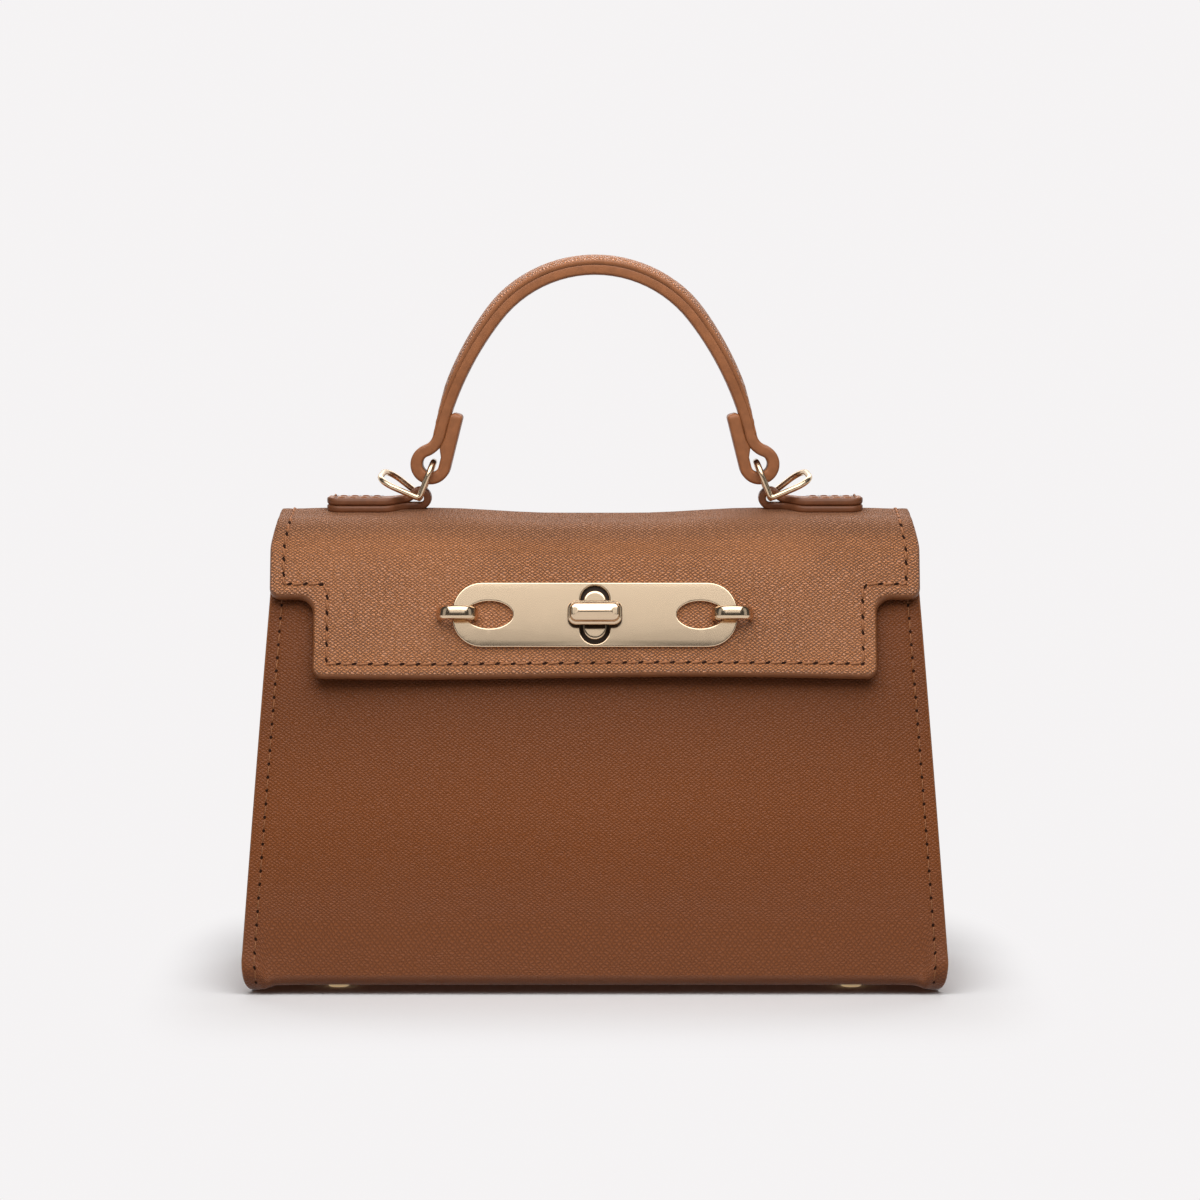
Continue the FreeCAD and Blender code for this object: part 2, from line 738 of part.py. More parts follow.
def make_lock_plate():
    """The polished plate with its round ends, two oval eyes and the upright slot for the lock."""
    body = new_body("lock_plate")
    sketch = sketch_on(body, "XZ_Plane")
    draw(sketch, rounded(box_corners(dim.plate_length / 2, dim.plate_height / 2, dim.plate_end_round)))
    draw(sketch, obround(dim.slot_width, dim.slot_height))
    for side in (-1, 1):
        eye = point(side * dim.eye_across, 0)
        sketch.addGeometry(Part.Ellipse(eye, dim.eye_length / 2, dim.eye_height / 2))
    pad(body, sketch, "Sizes.plate_thickness")
    doc.recompute()
    soften(body, "PartDesign::Chamfer", front_edges(body, dim.plate_thickness), "Size", "Sizes.plate_bevel")
    body.Placement = flap_face
    return keep(body, "lock_plate")


def make_staple(label, side):
    """A bent metal band: its inner leg goes through an eye of the plate, its outer leg beside the plate."""
    body = new_body(label)
    foot = point(0, dim.flap_leather + dim.layer_gap + dim.rivet_plate)
    right, left, top = point(staple_leg, 0), point(-staple_leg, 0), point(0, -staple_leg)
    middle = point(side * dim.staple_across, 0)
    path = [tuple(middle + place for place in stretch) for stretch in
            ((left + foot, left), (left, top, right), (right, right + foot))]
    half_wire = dim.staple_wire / 2
    pad(body, draw(sketch_on(body, "XY_Plane"), strip(path, -half_wire, half_wire)), "Sizes.staple_width",
        symmetric=True)
    doc.recompute()
    rims = [f"Edge{index}" for index, edge in enumerate(body.Tip.Shape.Edges, start=1)
            if edge.BoundBox.YMin < -staple_leg]
    soften(body, "PartDesign::Fillet", rims, "Radius", "Sizes.staple_edge_round")
    body.Placement = flap_face
    return keep(body, label)


def make_staple_washers():
    body = new_body("staple_washers")
    sketch = sketch_on(body, "XZ_Plane", proud(-dim.flap_leather - dim.layer_gap))
    draw(sketch, *rectangles(staple_places, dim.staple_washer_length, dim.staple_washer_height))
    draw(sketch, *leg_slots())
    pad(body, sketch, "Sizes.rivet_plate", away=True)
    body.Placement = flap_face
    return keep(body, "staple_washers")


def make_lock_base():
    """The oval base in the plate's slot, with two prongs through the leather."""
    body = new_body("lock_base")
    sketch = draw(sketch_on(body, "XZ_Plane"), obround(dim.lock_base_width, dim.lock_base_height))
    draw_circles(sketch, [point(0, 0)], "Sizes.knob_stem_diameter + 2 * Sizes.running_clearance")
    pad(body, sketch, "Sizes.lock_base_rise")
    prongs = draw_circles(sketch_on(body, "XZ_Plane"), prong_places, "Sizes.lock_prong_diameter")
    pad(body, prongs, "Sizes.flap_leather + Sizes.layer_gap + Sizes.rivet_plate", away=True)
    body.Placement = flap_face
    return keep(body, "lock_base")


def make_lock_back():
    body = new_body("lock_backplate")
    sketch = sketch_on(body, "XZ_Plane", proud(-dim.flap_leather - dim.layer_gap))
    draw(sketch, obround(dim.lock_back_width, dim.lock_back_height))
    pad(body, draw_lock_holes(sketch), "Sizes.rivet_plate", away=True)
    body.Placement = flap_face
    return keep(body, "lock_backplate")


stem_depth = "Sizes.flap_leather + 3 * Sizes.layer_gap + Sizes.rivet_plate + Sizes.retainer_thickness"


def make_lock_knob():
    """The turning bar on its neck, with a stem through the base, leather and back plate."""
    body = new_body("lock_knob")
    stem = draw_circles(sketch_on(body, "XZ_Plane"), [point(0, 0)], "Sizes.knob_stem_diameter")
    pad(body, stem, stem_depth, away=True)
    stem_up = draw_circles(sketch_on(body, "XZ_Plane"), [point(0, 0)], "Sizes.knob_stem_diameter")
    pad(body, stem_up, "Sizes.knob_clear")
    neck_place = proud(dim.lock_base_rise + dim.knob_neck_start)
    neck = draw_circles(sketch_on(body, "XZ_Plane", neck_place), [point(0, 0)], "Sizes.knob_neck_diameter")
    pad(body, neck, "Sizes.knob_clear - Sizes.lock_base_rise - Sizes.knob_neck_start")
    bar = box_corners(dim.knob_length / 2, dim.knob_height / 2, dim.knob_round)
    pad(body, draw(sketch_on(body, "XZ_Plane", proud(dim.knob_clear)), rounded(bar)), "Sizes.knob_flange")
    inset = dim.knob_bevel / 2
    pillow = box_corners(dim.knob_length / 2 - inset, dim.knob_height / 2 - inset, dim.knob_round - inset)
    pad(body, draw(sketch_on(body, "XZ_Plane", proud(dim.knob_clear + dim.knob_flange)), rounded(pillow)),
        "Sizes.knob_pillow")
    doc.recompute()
    height = dim.knob_clear + dim.knob_flange + dim.knob_pillow
    soften(body, "PartDesign::Fillet", front_edges(body, height), "Radius", "Sizes.knob_bevel")
    body.Placement = flap_face
    return keep(body, "lock_knob")


def make_knob_retainer():
    """A ring pressed on the stem's end, behind the back plate."""
    body = new_body("knob_retainer")
    start = -dim.flap_leather - 2 * dim.layer_gap - dim.rivet_plate
    sketch = draw_circles(sketch_on(body, "XZ_Plane", proud(start)), [point(0, 0)], "Sizes.retainer_diameter")
    draw_circles(sketch, [point(0, 0)], "Sizes.knob_stem_diameter")
    pad(body, sketch, "Sizes.retainer_thickness", away=True)
    body.Placement = flap_face
    return keep(body, "knob_retainer")


# A strap end folded back on itself round a wire, drawn with its bore at the origin and its length upwards
def folded_end(bore, thickness, gap, neck, tail):
    """From the end of the tail on the right, down round the bore, to the neck's top on the left layer."""
    ring = bore + thickness / 2
    shift = ring - thickness - gap
    swing = math.degrees(math.acos((neck - shift) / (ring + neck)))
    leave = polar(ring, 180 - swing)
    neck_centre = polar(ring + neck, 180 - swing)
    right, low = point(ring, 0), point(0, -ring)
    left = point(-ring, 0)
    top = neck_centre + point(neck, 0)
    middle = polar(ring, 180 - swing / 2)
    return [(point(ring, tail), right), (right, polar(ring, -45), low), (low, polar(ring, -135), left),
            (left, middle, leave), turn_arc(neck_centre, leave, top)]


def placed(path, centre, degrees, mirror=1):
    """A path mirrored, turned and moved."""
    rotation = Rotation(Vector(0, 0, 1), degrees)
    return [tuple(centre + rotation.multVec(point(mirror * place.x, place.y)) for place in stretch)
            for stretch in path]


tab_loop_radius = dim.tab_bore_radius + dim.tab_leather / 2
ring_level = dim.flap_top_level + tab_loop_radius + dim.tab_leather / 2
top_middle = (flap_path[2][0].x + flap_path[2][1].x) / 2


def make_tab(label, side):
    """A leather strap folded round the ring's bar and sewn flat on the flap top."""
    body = new_body(label)
    length = dim.tab_outer_end - dim.ring_across
    fold = folded_end(dim.tab_bore_radius, dim.tab_leather, dim.tab_fold_gap, dim.tab_neck_radius, length)
    fold.append((fold[-1][-1], point(fold[-1][-1].x, length)))
    path = placed(fold, point(side * dim.ring_across, ring_level), -side * 90, side)
    half = dim.tab_leather / 2
    pad(body, draw(sketch_on(body, "XZ_Plane"), strip(path, -half, half)),
        "2 * Sizes.tab_half_width + 2 * Sizes.overrun", symmetric=True)
    loop_end = dim.ring_across - tab_loop_radius - dim.overrun
    front = ((loop_end, dim.tab_loop_half_width, 0), (dim.tab_shoulder_inner, dim.tab_loop_half_width, 0),
             (dim.tab_shoulder_outer, dim.tab_half_width, dim.tab_round),
             (dim.tab_outer_end, dim.tab_half_width, dim.tab_round))
    corners = [(point(side * across, -fore), bend) for across, fore, bend in front]
    corners += [(point(place.x, -place.y), bend) for place, bend in reversed(corners)]
    trim_outside(body, "XY_Plane", rounded(corners), far_reach)
    body.Placement = Placement(Vector(0, top_middle, 0), Rotation())
    return keep(body, label)


def make_ring(label, side):
    """A bar along the bag's depth that carries two wire loops, one for the handle and one for a strap."""
    bar = Vector(side * dim.ring_across, top_middle, ring_level)
    fore = Vector(0, 1, 0)
    pieces = []

    def rod(start, end):
        piece = doc.addObject("Part::Cylinder", "Rod")
        piece.setExpression("Radius", "Sizes.ring_wire / 2")
        piece.Height = (end - start).Length
        piece.Placement = Placement(start, Rotation(Vector(0, 0, 1), end - start))
        pieces.append(piece)

    def bend(centre, start, end):
        piece = doc.addObject("Part::Torus", "Bend")
        piece.setExpression("Radius1", "Sizes.ring_corner")
        piece.setExpression("Radius2", "Sizes.ring_wire / 2")
        piece.Angle3 = 90
        piece.Placement = Placement(centre, Rotation(start, end, start.cross(end), "ZXY"))
        pieces.append(piece)

    rod(bar - fore * dim.ring_half_width, bar + fore * dim.ring_half_width)
    for edge in (-1, 1):
        ball = doc.addObject("Part::Sphere", "Ball")
        ball.setExpression("Radius", "Sizes.ring_wire / 2")
        ball.Placement = Placement(bar + fore * edge * dim.ring_half_width, Rotation())
        pieces.append(ball)
    lean, rise = math.radians(dim.handle_leg_lean), math.radians(dim.strap_leg_rise)
    legs = ((Vector(-side * math.sin(lean), 0, math.cos(lean)), dim.handle_leg_length),
            (Vector(side * math.cos(rise), 0, math.sin(rise)), dim.strap_leg_length))
    flat_end = dim.ring_half_width - dim.ring_corner
    for along, length in legs:
        for edge in (-1, 1):
            foot = bar + fore * edge * dim.ring_half_width
            rod(foot, foot + along * (length - dim.ring_corner))
            centre = bar + along * (length - dim.ring_corner) + fore * edge * flat_end
            bend(centre, fore * edge, along)
        tip = bar + along * length
        rod(tip - fore * flat_end, tip + fore * flat_end)
    ring = doc.addObject("Part::MultiFuse", label)
    ring.Shapes = pieces
    return keep(ring, label)


# Handle seen from the front: its strap's middle line from the top of the arch to one folded end
def handle_half():
    """The right half of the strap's middle line, from the top down to the neck above the ring."""
    heading = 90 - dim.handle_leg_tilt
    arch = dim.handle_arch_radius + dim.handle_strap / 2
    top = point(0, dim.handle_top_level - dim.handle_crown - dim.handle_strap / 2)
    first_turn, last_turn = math.radians(dim.handle_arch_turn), math.radians(heading)
    arch_centre = top - point(0, arch)
    shoulder = arch_centre + polar(arch, 90 - dim.handle_arch_turn)
    loop = point(dim.handle_loop_across, dim.handle_loop_level)
    fold = placed(folded_end(dim.handle_bore_radius, dim.handle_strap, dim.handle_fold_gap,
                             dim.handle_neck_radius, dim.handle_tail), loop, dim.handle_leg_tilt, -1)
    neck = fold[-1][-1]
    # A wide arc and a straight run join the shoulder to the neck: their lengths solve two equations
    side = point(math.sin(last_turn) - math.sin(first_turn), math.cos(last_turn) - math.cos(first_turn))
    run = point(math.cos(last_turn), -math.sin(last_turn))
    way = neck - shoulder
    scale = side.x * run.y - side.y * run.x
    wide = (way.x * run.y - way.y * run.x) / scale
    centre = shoulder - polar(wide, 90 - dim.handle_arch_turn)
    leg_start = centre + polar(wide, 90 - heading)
    upper = [(top, arch_centre + polar(arch, 90 - dim.handle_arch_turn / 2), shoulder),
             turn_arc(centre, shoulder, leg_start)]
    return upper, (leg_start, neck), [tuple(reversed(stretch)) for stretch in reversed(fold)]


def make_handle_strap():
    """The strap over the whole arch, folded round a ring at both ends."""
    body = new_body("handle_strap")
    upper, leg, fold = handle_half()
    right = upper + [leg] + fold
    half = dim.handle_strap / 2
    pad(body, draw(sketch_on(body, "XZ_Plane"), strip(mirrored(right) + right, -half, half)),
        "Sizes.handle_width", symmetric=True)
    wide, narrow = dim.handle_width / 2 + dim.overrun, dim.handle_end_width / 2
    shoulder = dim.handle_width / 2
    right_side = ((point(narrow, dim.flap_top_level), 0), (point(narrow, dim.handle_waist_level), 0),
                  (point(shoulder, dim.handle_shoulder_level), 0),
                  (point(wide, dim.handle_top_level + dim.overrun), 0))
    left_side = tuple((point(-place.x, place.y), bend) for place, bend in reversed(right_side))
    trim_outside(body, "YZ_Plane", rounded(right_side + left_side), far_reach)
    body.Placement = Placement(Vector(0, top_middle, 0), Rotation())
    return keep(body, "handle_strap")


def make_handle_cover():
    """The padded, crowned leather along the outside of the arch."""
    body = new_body("handle_cover")
    upper, _, _ = handle_half()
    outer = [offset(stretch, dim.handle_strap / 2) for stretch in upper]
    level = dim.handle_top_level - dim.handle_crown
    half = dim.handle_width / 2
    crown = [(point(-half, level), point(half, level)),
             (point(half, level), point(0, dim.handle_top_level), point(-half, level))]
    profile = draw(sketch_on(body, "YZ_Plane"), crown)
    spine = draw(sketch_on(body, "XZ_Plane"), outer)
    pipe = body.newObject("PartDesign::AdditivePipe", "Pipe")
    pipe.Profile = profile
    pipe.Spine = spine
    doc.recompute()
    other_half = body.newObject("PartDesign::Mirrored", "Mirrored")
    other_half.Originals = [pipe]
    plane = next(item for item in body.Origin.OriginFeatures if item.Role == "YZ_Plane")
    other_half.MirrorPlane = (plane, [""])
    body.Tip = other_half
    body.Placement = Placement(Vector(0, top_middle, 0), Rotation())
    return keep(body, "handle_cover")


make_body_leather()
make_base_board()
make_feet()
make_foot_washers()
cut_magnet_holes(make_stiffener("front_stiffener", front_wall, False, dim.front_top_level))
make_stiffener("back_stiffener", back_wall, True, back_top_level)
make_facing("front_facing", front_wall, False, dim.front_top_level)
make_facing("back_facing", back_wall, True, dim.hinge_level)
make_gusset("left_gusset", -1)
make_gusset("right_gusset", 1)
make_lining()
make_magnets("body_magnets", front_wall_place(), -dim.body_leather - 2 * dim.layer_gap)
make_flap_leather()
make_flap_board()
make_flap_lining()
make_magnets("flap_magnets", flap_face, -dim.flap_leather - 2 * dim.layer_gap)
make_lock_plate()
make_staple("left_staple", -1)
make_staple("right_staple", 1)
make_staple_washers()
make_lock_base()
make_lock_back()
make_lock_knob()
make_knob_retainer()
make_tab("left_handle_tab", -1)
make_tab("right_handle_tab", 1)
make_ring("left_ring", -1)
make_ring("right_ring", 1)
make_handle_strap()
make_handle_cover()
doc.recompute()

failed = [item.Label for item in doc.Objects if "Invalid" in item.State or "Error" in item.State]
if failed:
    raise RuntimeError("these objects failed: " + ", ".join(failed))
for node in nodes:
    if node.Shape.isNull() or not node.Shape.isValid():
        raise RuntimeError("this sub-part has no valid shape: " + node.Label)

os.makedirs("parts", exist_ok=True)
for node in nodes:
    node.Shape.exportStep(f"parts/{node.Label}.step")
    print(node.Label, len(node.Shape.Solids), "solids", round(node.Shape.Volume), "cubic mm")
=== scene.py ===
import bmesh
import bpy
import cmath
import math
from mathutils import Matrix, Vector


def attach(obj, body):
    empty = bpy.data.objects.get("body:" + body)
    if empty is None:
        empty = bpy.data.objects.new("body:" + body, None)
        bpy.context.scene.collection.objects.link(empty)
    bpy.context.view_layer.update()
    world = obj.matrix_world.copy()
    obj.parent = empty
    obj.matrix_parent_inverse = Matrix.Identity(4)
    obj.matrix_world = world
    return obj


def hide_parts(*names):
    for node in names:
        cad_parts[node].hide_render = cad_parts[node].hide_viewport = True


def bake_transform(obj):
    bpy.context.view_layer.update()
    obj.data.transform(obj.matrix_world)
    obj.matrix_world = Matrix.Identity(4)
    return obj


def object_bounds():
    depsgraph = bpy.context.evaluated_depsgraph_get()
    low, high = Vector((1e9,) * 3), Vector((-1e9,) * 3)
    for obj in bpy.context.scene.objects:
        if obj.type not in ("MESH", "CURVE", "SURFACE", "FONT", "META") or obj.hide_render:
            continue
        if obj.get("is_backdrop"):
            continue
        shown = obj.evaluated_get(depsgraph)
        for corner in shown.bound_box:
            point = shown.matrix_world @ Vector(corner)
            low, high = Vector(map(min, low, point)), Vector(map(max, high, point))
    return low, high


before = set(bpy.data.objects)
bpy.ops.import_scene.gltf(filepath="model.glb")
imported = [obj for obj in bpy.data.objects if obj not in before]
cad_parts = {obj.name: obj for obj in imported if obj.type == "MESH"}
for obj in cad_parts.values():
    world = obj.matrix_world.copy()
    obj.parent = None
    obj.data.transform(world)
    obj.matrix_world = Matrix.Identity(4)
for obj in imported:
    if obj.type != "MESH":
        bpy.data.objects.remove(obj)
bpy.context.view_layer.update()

MM = 0.001
SAME_PLACE = 1e-6
SIDES = ("left", -1), ("right", 1)
scene = bpy.context.scene


# Lines seen from one side, drawn with complex numbers: a straight is (start, end), a bend is (start, centre, turn)
def polar(radius, degrees):
    return cmath.rect(radius, math.radians(degrees))


def stretch_end(stretch):
    if len(stretch) == 2:
        return stretch[1]
    start, centre, turn = stretch
    return centre + (start - centre) * cmath.exp(1j * turn)


def backwards(line):
    turned = []
    for stretch in reversed(line):
        if len(stretch) == 2:
            turned.append((stretch[1], stretch[0]))
        else:
            turned.append((stretch_end(stretch), stretch[1], -stretch[2]))
    return turned


def flipped(line):
    """The line on the other side of the upright axis."""
    turned = []
    for stretch in line:
        places = [-place.conjugate() for place in stretch[:2]]
        turned.append(tuple(places) if len(stretch) == 2 else (*places, -stretch[2]))
    return turned


def moved(line, centre, degrees):
    turn = polar(1, degrees)
    return [tuple(centre + turn * place for place in stretch[:2]) + stretch[2:] for stretch in line]


def rounded_line(corners):
    """A line through corners, each a place and the radius that rounds it."""
    line = []
    place = corners[0][0]
    for index in range(1, len(corners) - 1):
        corner, radius = corners[index]
        back, ahead = corners[index - 1][0] - corner, corners[index + 1][0] - corner
        turn = cmath.phase(ahead / -back)
        reach = radius * math.tan(abs(turn) / 2)
        start = corner + back / abs(back) * reach
        centre = start + -back / abs(back) * 1j * math.copysign(radius, turn)
        line += [(place, start), (start, centre, turn)]
        place = stretch_end(line[-1])
    line.append((place, corners[-1][0]))
    return line


class Track:
    """A line measured along its length, with a side-step to the left of the way."""

    def __init__(self, line):
        self.line = line
        self.lengths = [abs(part[1] - part[0]) * (abs(part[2]) if len(part) == 3 else 1) for part in line]
        self.length = sum(self.lengths)

    def start_of(self, index):
        return sum(self.lengths[:index])

    def at(self, along, out=0.0):
        index = 0
        while index < len(self.line) - 1 and along > self.lengths[index]:
            along -= self.lengths[index]
            index += 1
        part = self.line[index]
        if len(part) == 2:
            way = (part[1] - part[0]) / abs(part[1] - part[0])
            return part[0] + way * along + 1j * way * out, 1j * way
        start, centre, turn = part
        arm = (start - centre) * cmath.exp(1j * turn * along / self.lengths[index])
        left = arm / abs(arm) * (-1 if turn > 0 else 1)
        return centre + arm + left * out, left

    def stations(self, straight, bend, near_ends=()):
        """Lengths along the track, closer together in its bends and as near to both ends as asked."""
        marks = {0.0, self.length}
        for index, part in enumerate(self.line):
            low, size = self.start_of(index), self.lengths[index]
            count = math.ceil(abs(part[2]) / math.radians(bend)) if len(part) == 3 else 1
            count = max(count, math.ceil(size / straight))
            marks |= {low + size * step / count for step in range(count + 1)}
        marks = sorted(marks)
        marks = [mark for index, mark in enumerate(marks) if not index or mark - marks[index - 1] > SAME_PLACE]
        return sorted(marks + list(near_ends) + [self.length - end for end in near_ends])


def smooth(low, high, value):
    share = min(max((value - low) / (high - low), 0.0), 1.0)
    return share * share * (3 - 2 * share)


# Body seen from the side, with the front on the left. Each wall leans by two angles: low down and at its top
FOOT, HALF_DEPTH, BOTTOM_ROUND = 2.8, 44.5, 8.0
FRONT_TOP, HINGE_LEVEL = 124.0, 128.0
BACK_TOP = HINGE_LEVEL - 3.3
FRONT_LEANS, BACK_LEANS = (7.6, 16.0), (6.4, 12.0)
LOW_LEVEL, LOW_HALF_WIDTH, TAPER, TAPER_RISE = 7.0, 103.3, 7.8, 113.0


def wall_bend(lean_low, lean_high, top):
    """A wall's arc from its top down to the bottom rounding."""
    low_lean, high_lean = math.radians(lean_low), math.radians(lean_high)
    low = complex(-HALF_DEPTH + BOTTOM_ROUND * (1 - math.cos(low_lean)),
                  FOOT + BOTTOM_ROUND * (1 + math.sin(low_lean)))
    rise = top - low.imag
    chord = math.hypot(rise, rise * math.tan((low_lean + high_lean) / 2))
    radius = chord / 2 / math.sin((high_lean - low_lean) / 2)
    centre = low + radius * complex(math.cos(low_lean), -math.sin(low_lean))
    return (centre + polar(radius, 180 - lean_high), centre, high_lean - low_lean)


def bottom_bend(lean_low):
    corner = complex(-HALF_DEPTH + BOTTOM_ROUND, FOOT + BOTTOM_ROUND)
    return (corner + polar(BOTTOM_ROUND, 180 - lean_low), corner, math.radians(90 + lean_low))


def wall_face(wall, level):
    _, centre, _ = wall
    radius = abs(wall[0] - centre)
    return centre.real - math.sqrt(radius ** 2 - (level - centre.imag) ** 2)


front_wall, back_wall = wall_bend(*FRONT_LEANS, FRONT_TOP), wall_bend(*BACK_LEANS, BACK_TOP)
front_line = [front_wall, bottom_bend(FRONT_LEANS[0])]
back_line = backwards(flipped([back_wall, bottom_bend(BACK_LEANS[0])]))
wrap = Track(front_line + [(stretch_end(front_line[-1]), back_line[0][0])] + back_line)


def half_width(level):
    return LOW_HALF_WIDTH - TAPER * (level - LOW_LEVEL) / TAPER_RISE


# Flap seen from the side: front edge, over the top, and down the back to its sewn edge
FLAP_LEAN, FLAP_LOW, FLAP_STEP_LEVEL, FLAP_RISE = 14.5, 92.0, 115.0, 48.0
FLAP_PROUD, FLAP_ROUND = 4.8, 9.0
HINGE_TO_TOP, HINGE_TO_TAIL = 12.0, 18.0
TOP_MIDDLE = 0.2907


def flap_line():
    lean, back_lean = math.radians(FLAP_LEAN), math.tan(math.radians(BACK_LEANS[1]))
    low = complex(wall_face(front_wall, FLAP_LOW) - FLAP_PROUD / math.cos(lean), FLAP_LOW)
    high = low + complex(FLAP_RISE * math.tan(lean), FLAP_RISE)
    hinge = complex(-back_wall[0].real - (HINGE_LEVEL - BACK_TOP) * back_lean, HINGE_LEVEL)
    back_high = hinge + complex(-HINGE_TO_TOP * back_lean, HINGE_TO_TOP)
    tail = hinge + complex(HINGE_TO_TAIL * back_lean, -HINGE_TO_TAIL)
    return rounded_line(((low, 0), (high, FLAP_ROUND), (back_high, FLAP_ROUND), (tail, 0)))


over = Track(flap_line())
HINGE_ALONG = over.length - HINGE_TO_TAIL / math.cos(math.radians(BACK_LEANS[1]))
SHOULDER = over.start_of(1)


# Shader maths
class Tone:
    """A node's output that takes part in sums."""

    def __init__(self, finish, socket):
        self.finish = finish
        self.socket = socket

    def sum_with(self, operation, *others):
        return self.finish.node("Math", {"operation": operation}, self, *others)

    def __add__(self, other):
        return self.sum_with("ADD", other)

    def __sub__(self, other):
        return self.sum_with("SUBTRACT", other)

    def __rsub__(self, other):
        return self.finish.node("Math", {"operation": "SUBTRACT"}, other, self)

    def __mul__(self, other):
        return self.sum_with("MULTIPLY", other)

    __radd__ = __add__
    __rmul__ = __mul__

    def zigzag(self):
        """Nought at each whole number and one half-way between."""
        return self.sum_with("PINGPONG", 0.5) * 2.0

    def lesser(self, other, soft):
        return self.sum_with("SMOOTH_MIN", other, soft)

    def step(self, low, high):
        return self.finish.node("MapRange", {"interpolation_type": "SMOOTHSTEP"}, self, low, high)


class Finish:
    """A material and its nodes."""

    def __init__(self, name, owner=None):
        self.material = owner or bpy.data.materials.new(name)
        self.material.use_nodes = True
        self.tree = self.material.node_tree
        self.shader = self.tree.nodes.get("Principled BSDF") or self.tree.nodes["Background"]

    def fill(self, socket, value):
        if isinstance(value, Tone):
            self.tree.links.new(value.socket, socket)
        elif hasattr(socket.default_value, "__len__") and len(socket.default_value) == 4:
            socket.default_value = (*value[:3], 1.0)
        else:
            socket.default_value = value

    def node(self, kind, settings, *inputs, output=0, **named):
        """Any shader node, with its settings, its inputs in order or by name, and the output that is wanted."""
        made = self.tree.nodes.new("ShaderNode" + kind)
        for name, value in settings.items():
            setattr(made, name, value)
        shown = [socket for socket in made.inputs if socket.enabled]
        for socket, value in zip(shown, inputs):
            self.fill(socket, value)
        for name, value in named.items():
            socket = next(item for item in shown if item.name == name.replace("_", " "))
            self.fill(socket, value)
        outputs = [socket for socket in made.outputs if socket.enabled]
        return Tone(self, made.outputs[output] if isinstance(output, str) else outputs[output])

    def mix(self, share, one, two):
        return self.node("Mix", {"data_type": "RGBA", "clamp_factor": True}, share, one, two)

    def scaled(self, colour, share):
        return self.node("VectorMath", {"operation": "SCALE"}, colour, Scale=share)

    def shade(self, **named):
        for name, value in named.items():
            self.fill(self.shader.inputs[name.replace("_", " ")], value)
        return self.material

    def bump(self, height, distance, strength=1.0):
        return self.node("Bump", {}, Strength=strength, Distance=distance, Height=height)

    def flat(self):
        """Where a place lay on the piece before it was bent, in millimetres."""
        return self.node("Attribute", {"attribute_name": "flat"}, output=1)

    def parts(self, vector):
        return [self.node("SeparateXYZ", {}, vector, output=index) for index in range(3)]

    def noise(self, vector, scale, detail):
        return self.node("TexNoise", {}, Vector=vector, Scale=scale, Detail=detail, Roughness=0.55)


CELL_ACROSS, CELL_ALONG = 1.5, 1.08
FLAP_SHADOW_SPAN, FOOT_START, FOOT_END = (36.0, 74.0), (80.0, 118.0), (130.0, 150.0)


def grained_leather(name, light, dark, depth, sheen, painted_flap_shadow=None, bent=None):
    """Pressed cross-grain: low faceted cells with fine grooves between them, under a satin finish.

    Where asked, a painted flap shadow darkens the front under and just below the flap, and a painted whitish sheen
    pales its foot. Where leather is bent over the top, painted shade deepens its tone, and its finish dulls.
    """
    finish = Finish(name)
    flat = finish.flat()
    across, along, _ = finish.parts(flat)
    drift = finish.noise(flat, 0.6, 2.0)
    wander = finish.noise(flat, 0.1, 2.0)
    one = across * (1 / CELL_ACROSS) + along * (1 / CELL_ALONG) + drift * 1.2 + wander * 1.6
    two = across * (1 / CELL_ACROSS) - along * (1 / CELL_ALONG) + drift * 1.4 - wander * 1.2
    cell = one.zigzag().lesser(two.zigzag(), 0.2)
    pores = finish.noise(flat, 4.0, 2.0)
    swell = finish.noise(flat, 0.5, 2.0)
    height = cell * (0.55 + swell * 0.6) + pores * 0.12 + swell * 0.3
    cloud = finish.noise(flat, 0.02, 3.0)
    # Cell tops lighter and grooves darker: the grain's own tone, strengthened by painted shade in the grooves and a
    # painted highlight on the cell tops.
    tone = cell.step(0.0, 0.7)
    colour = finish.mix(tone * 0.7 + pores * 0.3, dark, light)
    deep = tuple(part * 0.86 for part in light)
    colour = finish.mix(cloud.step(0.35, 0.7) * 0.25, colour, deep)
    if painted_flap_shadow:
        # Painted shadow of the flap: the colour is darkened by a quarter under the flap, fading out further down.
        colour = finish.scaled(colour, 0.76 + along.step(*painted_flap_shadow) * 0.24)
        # Painted sheen: towards the foot of the front, the colour is mixed a little towards white.
        painted_sheen = along.step(*FOOT_START) * (1 - along.step(*FOOT_END))
        colour = finish.mix(painted_sheen * 0.017, colour, (1.0, 1.0, 1.0))
    rough = 0.27 + (1 - tone) * 0.25 + pores * 0.08
    if bent:
        # Painted shade over the top bend: the colour is darkened by up to a third there, and the roughness rises.
        turned = along.step(*bent)
        colour = finish.scaled(colour, 1 - turned * 0.36)
        rough = rough + turned * 0.3
    finish.shade(Base_Color=colour, Roughness=rough, Normal=finish.bump(height, depth * MM))
    return finish.shade(Specular_IOR_Level=sheen)


def painted_edge(name, colour):
    """Smooth edge paint over cut leather, with faint runs along it."""
    finish = Finish(name)
    flat = finish.flat()
    runs = finish.noise(flat, 0.35, 3.0)
    specks = finish.noise(flat, 3.0, 2.0)
    dark = tuple(part * 0.82 for part in colour)
    finish.shade(Base_Color=finish.mix(runs.step(0.3, 0.7), dark, colour), Roughness=0.42 + runs * 0.12,
                 Normal=finish.bump(runs * 0.6 + specks * 0.4, 0.08 * MM, 0.5))
    return finish.shade(Specular_IOR_Level=0.45)


